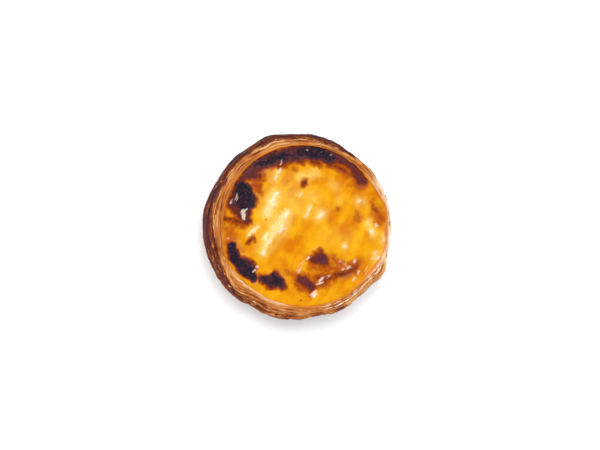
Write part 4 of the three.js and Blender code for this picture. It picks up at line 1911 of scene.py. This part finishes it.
@dataclass
class CustardFilling:
    """The baked custard that fills the cup."""

    form: TartForm
    level: float = 22.6
    ripple: float = 0.22
    hill_fall: float = 0.7
    cells: int = 250
    side_rings: tuple[float, ...] = (0.9, 0.7, 0.45, 0.2)
    fill_share: float = 0.95
    cling: float = 0.3
    lap_sway: float = 0.3
    ragged: float = 1.1
    tear: float = 4.2
    fine_ragged: float = 0.45
    fine_tear: float = 1.7
    fold_turn: float = 62.0
    fold_stretch: float = 1.7
    curd_depth: float = 0.08
    fold_width: float = 3.6
    streak_rise: float = 0.12
    scorch_rise: float = 0.25
    crinkle: float = 0.16
    glint_seed: int = 41
    grain: Grain = field(default_factory=lambda: Grain(5))
    piece: bpy.types.Object | None = None

    def pour(self) -> bpy.types.Object:
        """Makes a flat sheet of many cells with sides and a floor below it.

        Returns:
            The sheet, 2 units wide, with one ring of its sides at each whole depth below 0.
        """
        nothing_selected()
        bpy.ops.mesh.primitive_grid_add(
            x_subdivisions=self.cells, y_subdivisions=self.cells, size=2, location=(0, 0, 0)
        )
        filling = name_piece(bpy.context.active_object, "custard_filling")
        with on_the_bench(filling, "EDGE"):
            bpy.ops.mesh.select_non_manifold()
            for _ in range(len(self.side_rings) + 1):
                bpy.ops.mesh.extrude_region_move(TRANSFORM_OT_translate={"value": (0, 0, -1)})
            bpy.ops.mesh.edge_face_add()
            bpy.ops.mesh.select_all(action="SELECT")
            bpy.ops.mesh.normals_make_consistent(inside=False)
        return filling

    def torn(self, flat: np.ndarray, coarse: float, fine: float) -> np.ndarray:
        """Gives how far marks are torn out of place, read at two places of the random field."""
        large = self.ragged * self.grain.layered(flat + coarse, self.tear, 4)
        return large + self.fine_ragged * self.grain.layered(flat + fine, self.fine_tear, 2)

    def curdle(self, x: np.ndarray, y: np.ndarray) -> np.ndarray:
        """Gives the skin's wrinkles, which are longer in the direction of its folds.

        Args:
            x: First coordinates from the middle of the opening.
            y: Second coordinates.

        Returns:
            From -1 in a hollow to 1 on a ridge, and almost 0 in the calm pool.
        """
        turn = math.radians(self.fold_turn)
        along = (x * math.cos(turn) + y * math.sin(turn)) / self.fold_stretch
        across = y * math.cos(turn) - x * math.sin(turn)
        place = on_plane(along, across)
        wrinkles = 1 - 3.2 * np.abs(self.grain.layered(place, 5.0, 4))
        lumps = self.grain.layered(place + 20, 2.4, 3)
        calm = 1 - 0.8 * bell(np.hypot(x + 4, y + 8), 8.0)
        return np.clip(calm * (0.7 * wrinkles + 0.8 * lumps), -1, 1)

    def skin_height(
        self, x: np.ndarray, y: np.ndarray, scorch: np.ndarray, curd: np.ndarray
    ) -> np.ndarray:
        """Gives the height of the skin.

        Args:
            x: First coordinates from the middle of the opening.
            y: Second coordinates.
            scorch: How burnt each place is.
            curd: The skin's wrinkles.

        Returns:
            Heights in millimetres.
        """
        z = np.full_like(x, self.level)
        for h in HILLS:
            z += h.rise * bell(np.hypot(x - h.x, y - h.y), self.hill_fall * h.radius)
        for swell in LONG_SWELLS:
            z += swell.rise * bell(swell.off(x, y), self.hill_fall * swell.half)
        for fold in LONG_FOLDS:
            z += fold.depth * bell(fold.nearness(x, y), self.hill_fall * self.fold_width)
        z += self.ripple * np.sin(0.42 * x + 1.1 * np.sin(0.21 * y)) * np.sin(0.37 * y + 0.8)
        z += self.curd_depth * curd
        for fold in GLINT_FOLDS:
            z += fold.depth * bell(fold.lens(x, y), 1.0)
        for streak in PAINTED_SHEEN_STREAKS:
            z += self.streak_rise * streak.depth * bell(streak.nearness(x, y), 1.0)
        crinkle = self.grain.layered(on_plane(x, y) + 40, 2.0, 3)
        z += scorch * (self.crinkle * crinkle + self.scorch_rise)
        return z

    def painted_glint(self, x: np.ndarray, y: np.ndarray) -> np.ndarray:
        """Gives where glints are painted on the skin's small sharp folds, as a near-white highlight
        in the colour and a stronger coat.

        Args:
            x: First coordinates from the middle of the opening.
            y: Second coordinates.

        Returns:
            From 0 to 1.
        """
        broken = 0.9 * self.grain.layered(on_plane(x, y) + 30, 1.2, 2)
        best = np.zeros_like(x)
        draw = np.random.default_rng(self.glint_seed)
        for fold in GLINT_FOLDS:
            strength = min(1.0, 2.4 * fold.depth)
            for sliver in fold.slivers(draw):
                best = np.maximum(best, strength * ease(1.5, 0.7, sliver.lens(x, y) + broken))
        return best

    def set(self, filling: bpy.types.Object) -> None:
        """Fits the sheet to the cup's opening and raises and marks its skin.

        Args:
            filling: The flat sheet with its sides.
        """
        mesh = filling.data
        points = points_of(mesh)
        u, v, depth = points[:, 0], points[:, 1], np.rint(-points[:, 2]).astype(int)
        disc_x = u * np.sqrt(1 - v**2 / 2)
        disc_y = v * np.sqrt(1 - u**2 / 2)
        angle = np.arctan2(disc_y, disc_x)
        reach = np.hypot(disc_x, disc_y)
        degrees = np.degrees(angle)
        edge, _ = self.form.wall_inside(self.fill_share, angle)
        climb, run_up = LEFT_CLIMB.near(degrees), RIGHT_CLIMB.near(degrees)
        lap = self.cling + self.lap_sway * (sway(angle, 33, 6) + 0.6 * sway(angle, 34, 17))
        lap = lap + 1.4 * climb + 1.3 * run_up
        radius = (edge + lap) * reach
        x, y = radius * np.cos(angle), radius * np.sin(angle)
        mx, my = x - self.form.inner_shift[0], y - self.form.inner_shift[1]
        flat = on_plane(mx, my)
        wander, drift = self.torn(flat, 0, 20), self.torn(flat, 60, 40)
        scorch = drawn(SCORCHES, mx + wander, my + drift)
        scorch = clamp01(scorch * (1 + 0.2 * self.grain.layered(flat + 90, 2.6, 3)))
        # painted reflection: where a lamp's sheen is painted into the skin's colour
        pale = drawn(PAINTED_SHEEN_STREAKS, mx + wander, my + drift)
        warm = drawn(WARM_AREAS, mx + wander, my + drift)
        curd = self.curdle(mx, my)
        z = self.skin_height(mx, my, scorch, curd)
        z += (0.3 + 0.7 * climb + 0.9 * run_up) * ease(0.92, 1.0, reach)
        for ring, share in enumerate(self.side_rings, start=1):
            here = depth == ring
            side, height = self.form.wall_inside(share, angle[here])
            x[here], y[here] = side * np.cos(angle[here]), side * np.sin(angle[here])
            z[here] = height
        here = depth > len(self.side_rings)
        side, height = self.form.wall_inside(0.0, angle[here])
        side = side - self.form.floor_rounding
        x[here], y[here] = side * np.cos(angle[here]), side * np.sin(angle[here])
        z[here] = height
        move_points(mesh, np.stack([x, y, z], axis=-1) - self.form.middle())
        write_mark(mesh, "scorch", scorch)
        write_mark(mesh, "pale", pale)
        write_mark(mesh, "warm", warm)
        # painted highlight: where glints are painted on the skin
        write_mark(mesh, "painted_glint", self.painted_glint(mx + 0.3 * wander, my + 0.3 * drift))
        write_mark(mesh, "curd", 0.5 + 0.5 * curd)
        brown_side = 0.25 + 0.75 * BROWN_EDGE.near(degrees)
        ragged_reach = reach + 0.03 * self.grain.layered(flat + 70, 2.0, 3)
        write_mark(mesh, "rind", brown_side * ease(0.86, 0.97, ragged_reach))

    def build(self) -> bpy.types.Object:
        """Makes the filling.

        Returns:
            The finished object.
        """
        self.piece = self.pour()
        self.set(self.piece)
        take_up(self.piece)
        bpy.ops.object.shade_smooth()
        return self.piece

    def dress(self, skin: bpy.types.Material) -> None:
        """Gives the filling its material and its place in the frame.

        Args:
            skin: The skin's material.
        """
        self.piece.data.materials.append(skin)
        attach(self.piece, ROOT)
        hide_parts("custard")


# The studio


@dataclass(frozen=True)
class Lamp:
    """A square soft lamp: where it hangs and its width in metres, and its power in watts."""

    name: str
    place: tuple[float, float, float]
    size: float
    power: float
    mirrored: bool = True


LAMPS = (
    Lamp("key", (-0.17, 0.22, 1.15), 0.4, 9.8, mirrored=False),
    Lamp("side", (-0.8, 0.45, 0.9), 0.6, 2.6),
    Lamp("front", (0.6, -0.75, 0.85), 0.6, 3.0),
    Lamp("spark", (-0.14, 0.42, 1.15), 0.12, 1.3),
)


@dataclass(frozen=True)
class Studio:
    """The pale ground, the soft light and the camera."""

    ground_size: float = 1.5
    tilt: float = 12.0
    lens: float = 85.0
    distance: float = 0.5625
    aim: tuple[float, float, float] = (0.00089, 0.00071, 0.02308)
    sky: float = 1.1
    sky_tint: tuple[float, ...] = (0.93, 0.97, 1.0, 1.0)
    zenith: float = 0.12
    dimming: tuple[float, float] = (0.66, 0.92)

    def build(self) -> bpy.types.Object:
        """Makes the ground, lights the scene and sets up the camera.

        Returns:
            The ground.
        """
        scene = bpy.context.scene
        scene.view_settings.view_transform = "Standard"
        scene.view_settings.look = "None"
        self.set_camera(scene)
        self.set_sky(scene)
        for lamp in LAMPS:
            self.hang(lamp)
        return self.lay_ground()

    def set_camera(self, scene: bpy.types.Scene) -> None:
        """Places the camera almost above the tart.

        Args:
            scene: The scene.
        """
        tilt = math.radians(self.tilt)
        data = bpy.data.cameras.new("camera")
        data.lens = self.lens
        data.sensor_width = 36.0
        data.clip_start = 0.01
        camera = bpy.data.objects.new("camera", data)
        back = Vector((-math.sin(tilt), 0, math.cos(tilt)))
        place = Vector(self.aim) + self.distance * back
        camera.matrix_world = Matrix.Translation(place) @ Matrix.Rotation(-tilt, 4, "Y")
        scene.collection.objects.link(camera)
        scene.camera = camera

    def set_sky(self, scene: bpy.types.Scene) -> None:
        """Lights the scene evenly from all sides, and less from straight above.

        Args:
            scene: The scene.
        """
        world = bpy.data.worlds.new("studio")
        world.use_nodes = True
        w = Wiring(world.node_tree)
        parts = w.put("SeparateXYZ")
        w.feed(parts.inputs[0], w.put("TexCoord").outputs["Generated"])
        background = w.put("Background")
        w.feed(background.inputs["Color"], self.sky_tint)
        strength = w.spread(parts.outputs["Z"], *self.dimming, self.sky, self.zenith)
        w.feed(background.inputs["Strength"], strength)
        w.feed(w.put("OutputWorld").inputs["Surface"], background.outputs[0])
        scene.world = world

    def hang(self, lamp: Lamp) -> None:
        """Hangs a lamp so that it shines at the tart.

        Args:
            lamp: The lamp. A mirrored one shows in glossy surfaces.
        """
        data = bpy.data.lights.new(lamp.name, "AREA")
        data.shape = "SQUARE"
        data.size = lamp.size
        data.energy = lamp.power
        light = bpy.data.objects.new(lamp.name, data)
        light.location = lamp.place
        light.rotation_euler = (-Vector(lamp.place)).to_track_quat("-Z", "Y").to_euler()
        light.visible_glossy = lamp.mirrored
        bpy.context.scene.collection.objects.link(light)

    def lay_ground(self) -> bpy.types.Object:
        """Lays the pale ground under the tart.

        Returns:
            The ground.
        """
        nothing_selected()
        bpy.ops.mesh.primitive_plane_add(size=self.ground_size, location=(0, 0, 0))
        ground = name_piece(bpy.context.active_object, "pale_ground")
        material, w = new_material("pale ground")
        shader = w.put("BsdfPrincipled")
        w.feed(shader.inputs["Base Color"], Pigment.GROUND)
        w.feed(shader.inputs["Roughness"], 0.9)
        w.feed(shader.inputs["Specular IOR Level"], 0.1)
        w.feed(w.put("OutputMaterial").inputs["Surface"], shader.outputs[0])
        ground.data.materials.append(material)
        ground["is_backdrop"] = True
        return ground


def write_sizes() -> None:
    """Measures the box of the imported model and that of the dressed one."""
    boxes = {"cad": cad_box, "visual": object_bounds()}
    plain = {key: [[float(c) for c in corner] for corner in box] for key, box in boxes.items()}


def main() -> None:
    """Builds the tart and its studio."""
    logging.basicConfig(level=logging.INFO)
    form = TartForm()
    studio = Studio()
    studio.build()
    browning, mottle = Browning().build(), Mottle().build()
    crust = FlakyCrust().build(browning, mottle)
    skin = CustardSkin().build(browning, mottle)
    cup = PastryCup(form)
    flakes = LooseFlakes(cup)
    filling = CustardFilling(form)
    for part, finish in ((cup, crust), (flakes, crust), (filling, skin)):
        piece = part.build()
        part.dress(finish)
        log.info("%s: %d faces", piece.name, len(piece.data.polygons))
    write_sizes()


if __name__ == "__main__":
    main()
